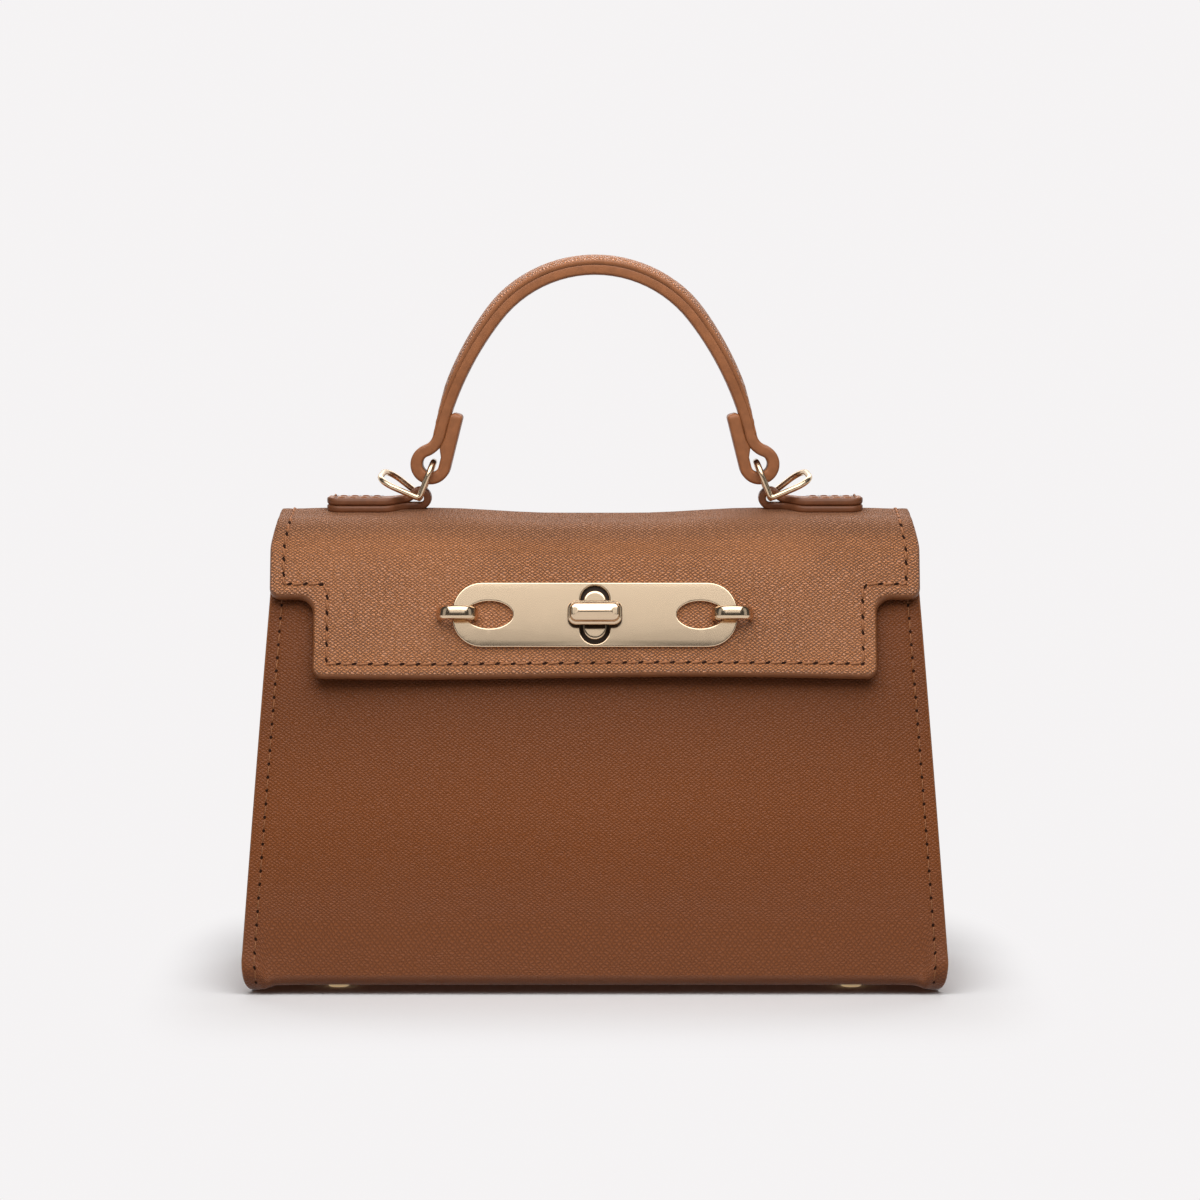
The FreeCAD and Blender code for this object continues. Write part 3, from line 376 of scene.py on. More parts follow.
def gilt_metal(name, colour, rough):
    """Pale polished gilt with faint clouding and hair scratches."""
    finish = Finish(name)
    place = finish.node("TexCoord", {}, output=3)
    cloud = finish.noise(place, 90.0, 3.0)
    hair = finish.noise(finish.node("Mapping", {}, Vector=place, Scale=(60.0, 900.0, 900.0)), 1.0, 2.0)
    dull = tuple(part * 0.93 for part in colour)
    finish.shade(Base_Color=finish.mix(cloud, colour, dull), Roughness=rough + cloud * 0.04 + hair * 0.02,
                 Normal=finish.bump(cloud, 0.02 * MM, 0.1))
    return finish.shade(Metallic=1.0)


def plain_finish(name, light, dark, rough, scale, metallic=0.0):
    finish = Finish(name)
    place = finish.node("TexCoord", {}, output=3)
    cloud = finish.noise(place, scale, 4.0)
    finish.shade(Base_Color=finish.mix(cloud, dark, light), Roughness=rough + cloud * 0.12,
                 Normal=finish.bump(cloud, 0.05 * MM, 0.4))
    return finish.shade(Metallic=metallic, Specular_IOR_Level=0.5 * light[0] / (light[0] + 0.1))


def twisted_thread(name, light, dark):
    """Waxed thread, its plies twisted round each other along the stitch."""
    finish = Finish(name)
    across, along, _ = finish.parts(finish.flat())
    ply = (across * 1.6 + along * 0.9).zigzag()
    finish.shade(Base_Color=finish.mix(ply, dark, light), Roughness=0.55 + ply * 0.1,
                 Normal=finish.bump(ply, 0.08 * MM, 0.6))
    return finish.material


def woven_lining(name, light, dark):
    """Plain weave: threads over and under by turns."""
    finish = Finish(name)
    across, along, _ = finish.parts(finish.flat())
    warp, weft = (across * 1.4).zigzag(), (along * 1.4).zigzag()
    weave = warp * weft
    slub = finish.noise(finish.flat(), 0.4, 3.0)
    finish.shade(Base_Color=finish.mix(weave * 0.7 + slub * 0.3, dark, light), Roughness=0.85,
                 Normal=finish.bump(weave, 0.12 * MM, 0.6))
    return finish.material


flap_tones = (0.82, 0.32, 0.123), (0.06, 0.02, 0.0065)
leather = grained_leather("strap_grain", *flap_tones, 0.4, 0.52)
# The flap's leather takes painted shade over its top bend.
flap_grain = grained_leather("flap_grain", *flap_tones, 0.41, 0.6, bent=(SHOULDER - 2.0, SHOULDER + 5.0))
# The body's leather is the flap's leather coloured darker: painted shade on the walls, gussets and facings.
shaded_body_tones = (0.345, 0.096, 0.0195), (0.205, 0.056, 0.0115)
body_leather = grained_leather("body_grain", *shaded_body_tones, 0.17, 0.26)
# The front's leather also carries the painted flap shadow and the painted sheen towards its foot.
front_leather = grained_leather("front_grain", *shaded_body_tones, 0.17, 0.26, painted_flap_shadow=FLAP_SHADOW_SPAN)
rim_paint = painted_edge("painted_edge", (0.37, 0.132, 0.046))
# The tabs' edge paint is the handle's edge paint coloured darker: painted shade on the tabs' upright sides.
shaded_tab_paint = painted_edge("shaded_tab_edge_paint", (0.2, 0.066, 0.022))
thread = twisted_thread("twisted_thread", (0.5, 0.2, 0.075), (0.3, 0.105, 0.036))
# Needle holes are shallow dishes coloured near-black: painted shade for the depth of each hole.
needle_hole = plain_finish("needle_hole", (0.035, 0.012, 0.005), (0.02, 0.006, 0.003), 0.8, 900.0)
lining_cloth = woven_lining("woven_lining", (0.36, 0.22, 0.12), (0.24, 0.13, 0.06))
board = plain_finish("bag_board", (0.26, 0.15, 0.08), (0.18, 0.1, 0.05), 0.8, 300.0)
gilt = gilt_metal("pale_gilt", (0.735, 0.56, 0.385), 0.12)
wire_gilt = gilt_metal("wire_gilt", (0.76, 0.575, 0.39), 0.2)
satin_gilt = gilt_metal("satin_gilt", (0.92, 0.7, 0.4), 0.42)
# Near-black finish for the lock's gaps and undersides: painted shade.
recess_shade = plain_finish("dark_recess", (0.05, 0.032, 0.022), (0.03, 0.018, 0.012), 0.5, 400.0)
zinc = plain_finish("plain_zinc", (0.6, 0.6, 0.6), (0.45, 0.45, 0.46), 0.32, 400.0, 1.0)


# Mesh builders: a piece is made flat in millimetres, then put in place
def as_piece(name, bm, finishes, body=None, nodes=()):
    mesh = bpy.data.meshes.new(name)
    bm.to_mesh(mesh)
    bm.free()
    mesh.shade_smooth()
    for finish in finishes:
        mesh.materials.append(finish)
    piece = bpy.data.objects.new(name, mesh)
    scene.collection.objects.link(piece)
    if body:
        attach(piece, body)
    if nodes:
        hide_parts(*nodes)
    return piece


def put_in_place(bm, place):
    """Keep each vertex's flat place for the grain, then bend it to its place in the bag."""
    flat = bm.verts.layers.float_vector.new("flat")
    for vert in bm.verts:
        vert[flat] = vert.co
        vert.co = Vector(place(*vert.co)) * MM
    bmesh.ops.recalc_face_normals(bm, faces=bm.faces[:])
    return bm


def skin(bm, rings, painted=lambda row, index: False):
    """Faces between rings that follow each other, some of them in the piece's second finish."""
    for row, (one, two) in enumerate(zip(rings, rings[1:])):
        for index in range(len(one)):
            face = bm.faces.new((one[index - 1], one[index], two[index], two[index - 1]))
            face.material_index = int(painted(row, index))


def rim_of(bm, ring):
    return [bm.edges.get((ring[index - 1], ring[index])) for index in range(len(ring))]


def rounded_sheet(borders, profile, cuts_across=(), cuts_along=(), rim=()):
    """A flat sheet whose edge runs through a profile of insets and heights, from its face round to its back."""
    bm = bmesh.new()
    face_rim, back_rim = [], []
    for border in borders:
        rows = [[bm.verts.new((place.real, place.imag, height)) for place in border(inset)]
                for inset, height in profile]
        skin(bm, rows, lambda row, index: row in rim)
        face_rim += rim_of(bm, rows[0])
        back_rim += rim_of(bm, rows[-1])
    for edge in (face_rim, back_rim):
        bmesh.ops.triangle_fill(bm, use_beauty=True, edges=edge)
    for way, cuts in ((Vector((1, 0, 0)), cuts_across), (Vector((0, 1, 0)), cuts_along)):
        for cut in cuts:
            everything = bm.verts[:] + bm.edges[:] + bm.faces[:]
            bmesh.ops.bisect_plane(bm, geom=everything, dist=1e-4, plane_co=way * cut, plane_no=way)
    return bm


def joined(*meshes):
    """Several meshes in one."""
    for bm in meshes[1:]:
        mesh = bpy.data.meshes.new("joined")
        bm.to_mesh(mesh)
        bm.free()
        meshes[0].from_mesh(mesh)
        bpy.data.meshes.remove(mesh)
    return meshes[0]


def corner_border(corners, turns=7):
    """Outline at any inset through corners, each a place and the radius that rounds it."""
    def border(inset):
        places = []
        for index, (corner, radius) in enumerate(corners):
            back = corners[index - 1][0] - corner
            ahead = corners[(index + 1) % len(corners)][0] - corner
            back, ahead = back / abs(back), ahead / abs(ahead)
            turn = cmath.phase(ahead / -back)
            convex = turn > 0
            inner = max(radius - inset * (1.0 if convex else 0.45), 0.05)
            half = abs(turn) / 2
            bisector = (back + ahead) / abs(back + ahead)
            shift = inset / math.cos(half)
            place = corner + bisector * (shift if convex else -shift)
            centre = place + bisector * inner / math.cos(half)
            first = place + back * inner * math.tan(half) - centre
            for step in range(turns):
                places.append(centre + first * cmath.exp(1j * turn * step / (turns - 1)))
        return places
    return border


def bullnose(thickness, steps=8):
    radius = thickness / 2
    angles = [math.pi * step / steps for step in range(steps + 1)]
    return [(radius * (1 - math.sin(angle)), -radius * (1 - math.cos(angle))) for angle in angles]


def every(low, high, gap):
    count = max(1, math.ceil((high - low) / gap))
    return [low + (high - low) * step / count for step in range(1, count)]


def swept(stations, section, place, painted=()):
    """A closed section carried along a track, with both ends capped and some of its strips painted."""
    bm = bmesh.new()
    rings = []
    for along in stations:
        rings.append([bm.verts.new((across, along, out)) for out, across in section(along)])
    skin(bm, rings, lambda row, index: index in painted)
    for ring in (rings[0], rings[-1]):
        bm.faces.new(ring).material_index = int(bool(painted))
    return put_in_place(bm, place)


# A stitch from hole to hole: share of its length, lift and girth in thread gauges
STITCH_ARCH = ((0.0, -1.3, 0.7), (0.1, -0.3, 1.0), (0.25, 0.25, 1.05), (0.5, 0.45, 1.1), (0.75, 0.25, 1.05),
               (0.9, -0.3, 1.0), (1.0, -1.3, 0.7))
THREAD_SIDES, HOLE_SIDES = 6, 10


def stitch_row(bm, holes, line, place, pitch, gauge, hole, groove):
    """Threads that dive into slanting needle holes along a line of flat places, in a groove."""
    flat = bm.verts.layers.float_vector.get("flat") or bm.verts.layers.float_vector.new("flat")
    lengths = [abs(line[index + 1] - line[index]) for index in range(len(line) - 1)]
    total = sum(lengths)
    count = max(1, round(total / pitch))
    gap = total / count

    def on_line(along):
        along = min(max(along, 0.0), total)
        index = 0
        while index < len(lengths) - 1 and along > lengths[index]:
            along -= lengths[index]
            index += 1
        way = (line[index + 1] - line[index]) / max(lengths[index], 1e-9)
        return line[index] + way * along, way

    for number in range(count):
        rings = []
        for share, lift, girth in STITCH_ARCH:
            here, way = on_line((number + 0.13 + 0.74 * share) * gap)
            ring = []
            for turn in range(THREAD_SIDES):
                angle = math.tau * turn / THREAD_SIDES
                aside = gauge * (girth * math.cos(angle) + 0.9 * (share - 0.5))
                up = gauge * (lift + girth * math.sin(angle)) - groove * 0.7
                spot = here + 1j * way * aside
                vert = bm.verts.new(Vector(place(spot.real, spot.imag, up)) * MM)
                vert[flat] = (share * gap, turn, number)
                ring.append(vert)
            rings.append(ring)
        skin(bm, rings)
        bm.faces.new(rings[0])
        bm.faces.new(list(reversed(rings[-1])))
    for number in range(count + 1):
        here, way = on_line(number * gap)
        ring = []
        for turn in range(HOLE_SIDES):
            reach = cmath.rect(1.0, math.tau * turn / HOLE_SIDES)
            reach = complex(reach.real * hole[0], reach.imag * hole[1]) * cmath.rect(1.0, 0.3)
            spot = here + way * reach
            up = 0.08 - groove * max(0.0, 1 - abs(reach.imag) / 0.7)
            ring.append(holes.verts.new(Vector(place(spot.real, spot.imag, up)) * MM))
        middle = holes.verts.new(Vector(place(here.real, here.imag, 0.09 - groove)) * MM)
        for turn in range(HOLE_SIDES):
            holes.faces.new((ring[turn - 1], ring[turn], middle))


def sew(name, rows, place, pitch, body=None, gauge=0.3, hole=(0.7, 0.36), groove=0.0):
    """All the stitches of one piece, with their needle holes."""
    bm, holes = bmesh.new(), bmesh.new()
    for row in rows:
        stitch_row(bm, holes, row, place, pitch, gauge, hole, groove)
    bmesh.ops.recalc_face_normals(bm, faces=bm.faces[:])
    return [as_piece(name + "_stitches", bm, [thread], body),
            as_piece(name + "_needle_holes", holes, [needle_hole], body)]


# Body: one leather wrapped from the front round the bottom to the back, its sides standing out as sewn edges
SEAM, CORNER_ROUND, CORNER_LEVEL, CORNER_DROP = 3.7, 3.4, 11.0, 8.2
SWELL, DROOP, CRISPNESS = 0.9, 2.3, 5.2
DROOP_LEVELS = -13.0, -4.5
BODY_PITCH, BODY_GAUGE, BODY_HOLE, BODY_GROOVE = 3.9, 0.2, (0.46, 0.42), 0.16
wrap_marks = wrap.stations(5.0, 7.0)


def wrap_half_width(along):
    """Half the wrap's width, its bottom corners rounded off."""
    level = wrap.at(along)[0].imag
    drop = min(max((CORNER_LEVEL - level) / CORNER_DROP, 0.0), 1.0)
    return half_width(level) - CORNER_ROUND * (1 - math.sqrt(1 - 0.94 * drop * drop))


def wrap_border(inset):
    span = wrap.length - 2 * inset
    marks = [inset + span * mark / wrap.length for mark in wrap_marks]
    right = [complex(wrap_half_width(mark) - inset, mark) for mark in marks]
    left = [complex(-place.real, place.imag) for place in reversed(right)]
    return right + left


def crisp_edge(along, outward):
    """Between the sewn sides the bottom edges are rounded less."""
    shift = 0j
    for bend, lean, side in ((1, FRONT_LEANS[0], -1), (3, BACK_LEANS[0], 1)):
        start, end, turn = wrap.start_of(bend), wrap.start_of(bend + 1), math.radians(lean)
        corner = complex(side * (1 + math.sin(turn)) / math.cos(turn), -1)
        near = smooth(start - 12, start, along) * smooth(-end - 12, -end, -along)
        shift += CRISPNESS * (corner - outward) * near
    return shift


def wrap_place(across, along, height):
    """The padded walls swell a little between the side seams, and the sewn edges droop below the bottom."""
    middle, inside = wrap.at(along)
    edge = half_width(middle.imag)
    inner = edge - SEAM
    share = max(0.0, 1 - (across / inner) ** 2) if abs(across) < inner else 0.0
    front = smooth(0, 30, along) * smooth(-wrap.start_of(1) - 2, -wrap.start_of(1) + 40, -along)
    back = smooth(0, 30, wrap.length - along)
    back *= smooth(wrap.start_of(4) - 2, wrap.start_of(4) + 40, along)
    swell = SWELL * math.sqrt(share) * (front + back) if share else 0.0
    droop = DROOP * smooth(edge - 12.0, edge - 3.0, abs(across)) * smooth(*DROOP_LEVELS, -middle.imag)
    middle += crisp_edge(along, -inside) * smooth(-edge + 3.0, -edge + 8.0, -abs(across))
    place = middle - inside * (height + swell + droop)
    return across, place.real, place.imag


body_profile = [(7.0, 0.0), (5.2, 0.0), (SEAM + 0.7, 0.0), (SEAM, -BODY_GROOVE), (SEAM - 0.7, 0.0), (2.2, 0.04),
                (1.2, 0.02)] + bullnose(1.5) + [(1.2, -1.5), (6.0, -1.5)]
bm = rounded_sheet([wrap_border], body_profile, every(-100, 100, 7.0), wrap_marks[1:-1], range(8, 16))
as_piece("body_wrap", put_in_place(bm, wrap_place), [front_leather, rim_paint], "bag", ["body_leather"])

front_end, back_start = wrap.start_of(1), wrap.start_of(4)
side_rows = []
for low, high in ((4.0, front_end + 7.0), (back_start - 7.0, wrap.length - 4.0)):
    marks = [low] + every(low, high, 6.0) + [high]
    for side in (-1, 1):
        side_rows.append([complex(side * (wrap_half_width(mark) - SEAM), mark) for mark in marks])
sew("body_wrap", side_rows, wrap_place, BODY_PITCH, "bag", BODY_GAUGE, BODY_HOLE, BODY_GROOVE)


# Gussets: end walls that fold inwards along a crease, turned out to a flange inside the wrap's edge
GUSSET_TOP, CREASE, GUSSET_SAG, FOLD_ROUND = 117.0, 7.0, 2.0, 2.2
FOLD_INSETS = 1.6, 1.1, 0.7, 0.35, 0.12


def along_at(level, is_back):
    """Length along the wrap at a level of its front or back wall."""
    low, high = (back_start, wrap.length) if is_back else (0.0, front_end)
    for _ in range(40):
        middle = (low + high) / 2
        above = wrap.at(middle)[0].imag > level
        low, high = (low, middle) if above == is_back else (middle, high)
    return (low + high) / 2


def gusset_border(inset):
    start, end = along_at(GUSSET_TOP - inset, False), along_at(GUSSET_TOP - inset, True)
    return [wrap.at(start + (end - start) * mark / 60, 1.6 + inset)[0] for mark in range(61)]


def gusset_reach(fore, level):
    """How far the end wall's outer face stands from the bag's middle, with its crease and soft ripple."""
    front, back = wall_face(front_wall, max(level, 11.0)), -wall_face(back_wall, max(level, 11.0))
    middle, half = (front + back) / 2, (back - front) / 2
    fold = max(1.06 - math.sqrt(((fore - middle) / half) ** 2 + 0.0036), 0.0)
    crease = CREASE * max(level - 6.0, 0.0) / GUSSET_TOP
    return half_width(level) - 4.6 - fold * (crease - 0.35 * math.sin(level / 13.0))


def make_gusset(hand, side):
    def place(fore, level, height):
        lip = height if height < 0 else height * (1 - smooth(112.5, 116.0, level))
        aside = max(abs(fore) - HALF_DEPTH + BOTTOM_ROUND, 0.0)
        bend = complex(math.copysign(aside, fore), level - FOOT - BOTTOM_ROUND)
        sag = GUSSET_SAG * smooth(*DROOP_LEVELS, -level) / max(abs(bend), 1.0)
        return side * (gusset_reach(fore, level) + lip), fore + sag * bend.real, level + sag * bend.imag

    profile = [(6.0, 0.0), (3.6, 0.0), (FOLD_ROUND, 0.0)]
    for inset in FOLD_INSETS:
        profile.append((inset, FOLD_ROUND - math.sqrt(max(FOLD_ROUND ** 2 - (FOLD_ROUND - inset) ** 2, 0.0))))
    profile += [(0.0, 1.5), (0.0, 0.2), (0.3, -0.7), (0.9, -1.1), (1.8, -1.2), (6.0, -1.2)]
    bm = rounded_sheet([gusset_border], profile, every(-42, 42, 3.5), every(8, GUSSET_TOP - 2, 6.0))
    put_in_place(bm, place)
    start, end = along_at(GUSSET_TOP, False), along_at(GUSSET_TOP, True)
    marks = [start] + [mark for mark in wrap_marks if start < mark < end] + [end]

    def flange_border(inset):
        span = [start + inset + (end - start - 2 * inset) * (mark - start) / (end - start) for mark in marks]
        outer = [complex(wrap_half_width(mark) - 0.25 - inset, mark) for mark in span]
        inner = [complex(half_width(wrap.at(mark)[0].imag) - 6.0 + inset, mark) for mark in reversed(span)]
        return outer + inner

    flange = rounded_sheet([flange_border], bullnose(1.2, 6))
    put_in_place(flange, lambda across, along, height: wrap_place(side * across, along, height - 1.52))
    as_piece(hand + "_gusset_leather", joined(bm, flange), [body_leather], "bag", [hand + "_gusset"])


for hand, side in SIDES:
    make_gusset(hand, side)


# Inside: cloth lining below leather facings
LINING_TOP, LINING_BACK_RISE, LINING_ROUND, LINING_FOLD = 112.4, 4.2, 2.5, 0.8
LINING_IN, LINING_IN_ENDS, LINING_IN_GUSSET = 4.1, 6.4, 1.75
LINING_ORDER = Vector((1.0, 0.71, 0.37))
LINING_RINGS = [(6.75, 9.0), (6.85, 5.0), (7.6, 2.2), (9.6, 0.7)]
LINING_RINGS += [(level, 0.0) for level in (13.0, 25.0, 40.0, 55.0, 70.0, 85.0, 98.0, 106.0, LINING_TOP)]


def make_lining():
    """Rings of cloth from the bottom up. Its faces are sorted, because thickening leaves those of the rim unordered."""
    bm = bmesh.new()
    flat = bm.verts.layers.float_vector.new("flat")
    rings = []
    for level, inset in LINING_RINGS:
        front = wall_face(front_wall, max(level, 12.0)) + LINING_IN + inset
        back = -wall_face(back_wall, max(level, 12.0)) - LINING_IN - inset
        edge = half_width(level) - LINING_IN_ENDS - inset
        straight, fold = edge - LINING_ROUND, edge - LINING_FOLD
        ring = []
        around = 0.0
        for side in (1, -1):
            rows = [(side * straight, front), (side * fold, front + LINING_FOLD), (side * edge, front + LINING_ROUND)]
            for step in range(1, 12):
                fore = front + LINING_ROUND + (back - front - 2 * LINING_ROUND) * step / 12
                rows.append((side * min(edge, gusset_reach(fore, level) - LINING_IN_GUSSET - inset), fore))
            rows += [(side * edge, back - LINING_ROUND), (side * fold, back - LINING_FOLD), (side * straight, back)]
            rows = rows if side > 0 else list(reversed(rows))
            target, fore = (-straight, back) if side > 0 else (straight, front)
            last = rows[-1][0]
            rows += [(last + (target - last) * step / 14, fore) for step in range(1, 14)]
            for spot in rows:
                lift = LINING_BACK_RISE * smooth(100.0, LINING_TOP, level) * smooth(front, back, spot[1])
                vert = bm.verts.new(Vector((spot[0], spot[1] - 0.21 * lift, level + lift)) * MM)
                around += 0.0 if not ring else (vert.co - ring[-1].co).length / MM
                vert[flat] = (around, level + inset, 0)
                ring.append(vert)
        rings.append(ring)
    skin(bm, rings)
    bmesh.ops.triangle_fill(bm, use_beauty=True, edges=rim_of(bm, rings[0]))
    bmesh.ops.recalc_face_normals(bm, faces=bm.faces[:])
    bmesh.ops.solidify(bm, geom=bm.faces[:], thickness=0.5 * MM)
    bm.faces.sort(key=lambda face: face.calc_center_median().dot(LINING_ORDER))
    lining_bag = as_piece("lining_bag", bm, [lining_cloth], "bag", ["lining"])


make_lining()


def front_mouth(level, depth):
    _, centre, _ = front_wall
    radius = abs(front_wall[0] - centre) - depth
    return complex(centre.real - math.sqrt(radius ** 2 - (level - centre.imag) ** 2), level)


def make_facing(name, node, track, half_high, half_low, face):
    """A leather band inside the mouth, with a row of stitches along its lower edge."""
    corners = [(complex(-half_low, 0), 0.4), (complex(half_low, 0), 0.4), (complex(half_high, track.length), 0.4),
               (complex(-half_high, track.length), 0.4)]

    def place(across, along, height):
        spot, _ = track.at(along, height * face)
        return across, spot.real, spot.imag

    profile = [(3.0, 0.0), (1.2, 0.0)] + bullnose(1.0, 6) + [(1.2, -1.0), (3.0, -1.0)]
    bm = rounded_sheet([corner_border(corners, 4)], profile, every(-90, 90, 9.0), track.stations(4.0, 12.0)[1:-1])
    as_piece(name, put_in_place(bm, place), [body_leather], "bag", [node])
    row = [complex(-half_low + 3.0 + (2 * half_low - 6.0) * step / 30, 1.9) for step in range(31)]
    sew(name, [row], place, 4.2, "bag")


FACING_IN, BACK_FACING_LOW, BACK_FACING_RISE = 4.95, 116.8, 10.9
mouth = rounded_line(((front_mouth(112.6, FACING_IN), 0), (front_mouth(124.9, FACING_IN), 2.2),
                      (front_mouth(124.7, 0.9), 0)))
make_facing("front_mouth_facing", "front_facing", Track(mouth), 86.4, 87.2, -1)
lean = math.radians(BACK_LEANS[1])
back_low = complex(-wall_face(back_wall, BACK_FACING_LOW) - FACING_IN / math.cos(lean), BACK_FACING_LOW)
back_high = complex(back_low.real - BACK_FACING_RISE * math.tan(lean), BACK_FACING_LOW + BACK_FACING_RISE)
make_facing("back_mouth_facing", "back_facing", Track([(back_low, back_high)]), 86.2, 87.0, 1)


# Flap: stepped outline with a thick rolled edge, sewn round, bent over the top and joined to the back
FLAP_SEAM, FLAP_THICK, FLAP_PITCH, FLAP_GROOVE = 4.2, 3.0, 4.65, 0.24
STEP = (FLAP_STEP_LEVEL - FLAP_LOW) / math.cos(math.radians(FLAP_LEAN))
TONGUE, WING, TOP_SIDE, BACK_SIDE = 82.8, 95.7, 94.3, 94.8
TOP_FALL, TOP_REACH, TOP_DIP, TOP_EASE = 0.9, 16.0, 1.5, 0.95


def mirrored(right):
    """Corners up the right side, then down the left."""
    return right + [(complex(-place.real, place.imag), radius) for place, radius in reversed(right)]


flap_outline = corner_border(mirrored(
    [(complex(TONGUE, 0.0), 3.2), (complex(TONGUE, STEP), 4.6), (complex(WING, STEP), 3.2),
     (complex(WING, SHOULDER - 2.5), 20.0), (complex(TOP_SIDE, SHOULDER + 8.0), 20.0),
     (complex(TOP_SIDE, over.start_of(3)), 30.0), (complex(BACK_SIDE, HINGE_ALONG), 30.0),
     (complex(BACK_SIDE, over.length), 4.0)]))


def flap_border(inset):
    """The rolled rim is wide along the lower edges and narrow up the sides."""
    spread = 0.55 * inset if inset < 2.15 else 1.18 * max(0.0, 3.5 - inset) / 1.35
    return [place + math.copysign(spread, place.real) for place in flap_outline(inset)]


def top_fall(fore):
    """How far the soft top falls away in front of and behind its middle line."""
    return TOP_FALL * (1 - math.cos(math.pi * min(abs(fore - TOP_MIDDLE), TOP_REACH) / TOP_REACH))


def flap_place(across, along, height):
    """The lower edge stands off in slow waves, the top dips between the tabs, and the back thins over the wall."""
    turned = smooth(HINGE_ALONG - 2.5, HINGE_ALONG + 3.1, along)
    loose = max(0.0, 1 - along / 24.0) ** 2
    middle, outside = over.at(along + 0.4 * loose * math.sin(across / 27.0 + 0.6))
    puff = 0.25 * smooth(5.0, 12.0, along) * smooth(-90, -80, -abs(across)) * (height > -1.0)
    flare = max(0.0, 1 - along / 13.0) ** 2 * (1.7 + 0.4 * math.sin(across / 19.0))
    place = middle + outside * (height * (1 - 0.53 * turned) + 1.55 * turned + puff + flare)
    settle = smooth(125.0, 137.0, place.imag)
    dip = TOP_DIP * (1 - smooth(12.0, 48.0, abs(across)))
    ease = TOP_EASE * smooth(0.0, 12.0, -place.real)
    return across, place.real + ease * settle, place.imag - (top_fall(place.real) + dip) * settle


flap_profile = [(7.5, 0.0), (5.6, 0.0), (FLAP_SEAM + 0.7, 0.0), (FLAP_SEAM, -FLAP_GROOVE), (FLAP_SEAM - 0.7, 0.0),
                (3.0, 0.06), (2.6, 0.05)]
for bead in range(0, 91, 15):
    turn = math.radians(bead)
    flap_profile.append((2.2 * (1 - math.sin(turn)), 0.03 - 2.5 * (1 - math.cos(turn))))
flap_profile += [(0.12, -2.75), (0.45, -2.95), (1.0, -FLAP_THICK), (7.5, -FLAP_THICK)]
flap_cuts = over.stations(6.0, 6.0) + [HINGE_ALONG + shift for shift in range(-4, 5)]
bm = rounded_sheet([flap_border], flap_profile, every(-96, 96, 8.0), sorted(flap_cuts)[1:-1], range(9, 16))
flap_leather = as_piece("flap_leather_sheet", put_in_place(bm, flap_place), [flap_grain, rim_paint])
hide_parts("flap_leather")
flap_row = flap_border(FLAP_SEAM)
flap_sewing = sew("flap", [flap_row + flap_row[:1]], flap_place, FLAP_PITCH, None, 0.36, (0.85, 0.4), FLAP_GROOVE)
for piece in [flap_leather] + flap_sewing:
    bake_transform(piece)

flap_end = HINGE_ALONG - 3.5
half = len(flap_row) // 2
back_row = [place for place in flap_row[half:] if place.imag < flap_end]
back_row += [place for place in flap_row[:half] if place.imag < flap_end]
sew("flap_back", [back_row], lambda across, along, height: flap_place(across, along, -FLAP_THICK - height),
    FLAP_PITCH, "flap")

lining_border = corner_border(mirrored(
    [(complex(74.8, 8.0), 2.0), (complex(74.8, STEP + 8.0), 2.0), (complex(87.6, STEP + 8.0), 2.0),
     (complex(87.6, SHOULDER - 7.0), 30.0), (complex(85.0, SHOULDER + 7.0), 30.0), (complex(85.0, flap_end), 2.0)]))
board_profile = [(1.5, -1.35), (0.3, -1.35), (0.3, -2.55), (1.5, -2.55)]
lining_cuts = [cut for cut in flap_cuts if 9 < cut < flap_end]
bm = rounded_sheet([lining_border], board_profile, every(-90, 90, 15.0), lining_cuts)
as_piece("flap_board_sheet", put_in_place(bm, flap_place), [board], "flap", ["flap_board"])
lining_profile = [(1.5, -3.3), (0.6, -3.3), (0.2, -3.25), (0.0, -3.1), (0.0, -2.8), (1.5, -2.8)]
bm = rounded_sheet([lining_border], lining_profile, every(-90, 90, 15.0), lining_cuts)
flap_cloth = as_piece("flap_lining_sheet", put_in_place(bm, flap_place), [lining_cloth], "flap",
                      ["flap_lining"])


# Handle: a strap folded round a ring at both ends, and a crowned leather along its outside
def folded_end(bore, thickness, gap, neck, tail):
    """From the tail's end on the right, down round the bore, to the neck's top on the left."""
    ring = bore + thickness / 2
    swing = math.acos((neck - (ring - thickness - gap)) / (ring + neck))
    leave = cmath.rect(ring, math.pi - swing)
    return [(complex(ring, tail), complex(ring, 0)), (complex(ring, 0), 0j, -math.pi - swing),
            (leave, cmath.rect(ring + neck, math.pi - swing), swing)]


STRAP, COVER, HANDLE_TOP = 3.5, 2.2, 215.6
ARCH_ROUND, ARCH_TURN, LEG_TILT = 35.5, 52.0, 14.0
LOOP, LOOP_BORE, LOOP_GAP, LOOP_NECK, LOOP_TAIL = complex(49.1, 153.4), 2.5, 0.35, 6.0, 16.6
STRAP_ENDS = 0.1, 0.3, 0.6, 1.0, 1.5
TAB_ENDS = 0.1, 0.3, 0.6


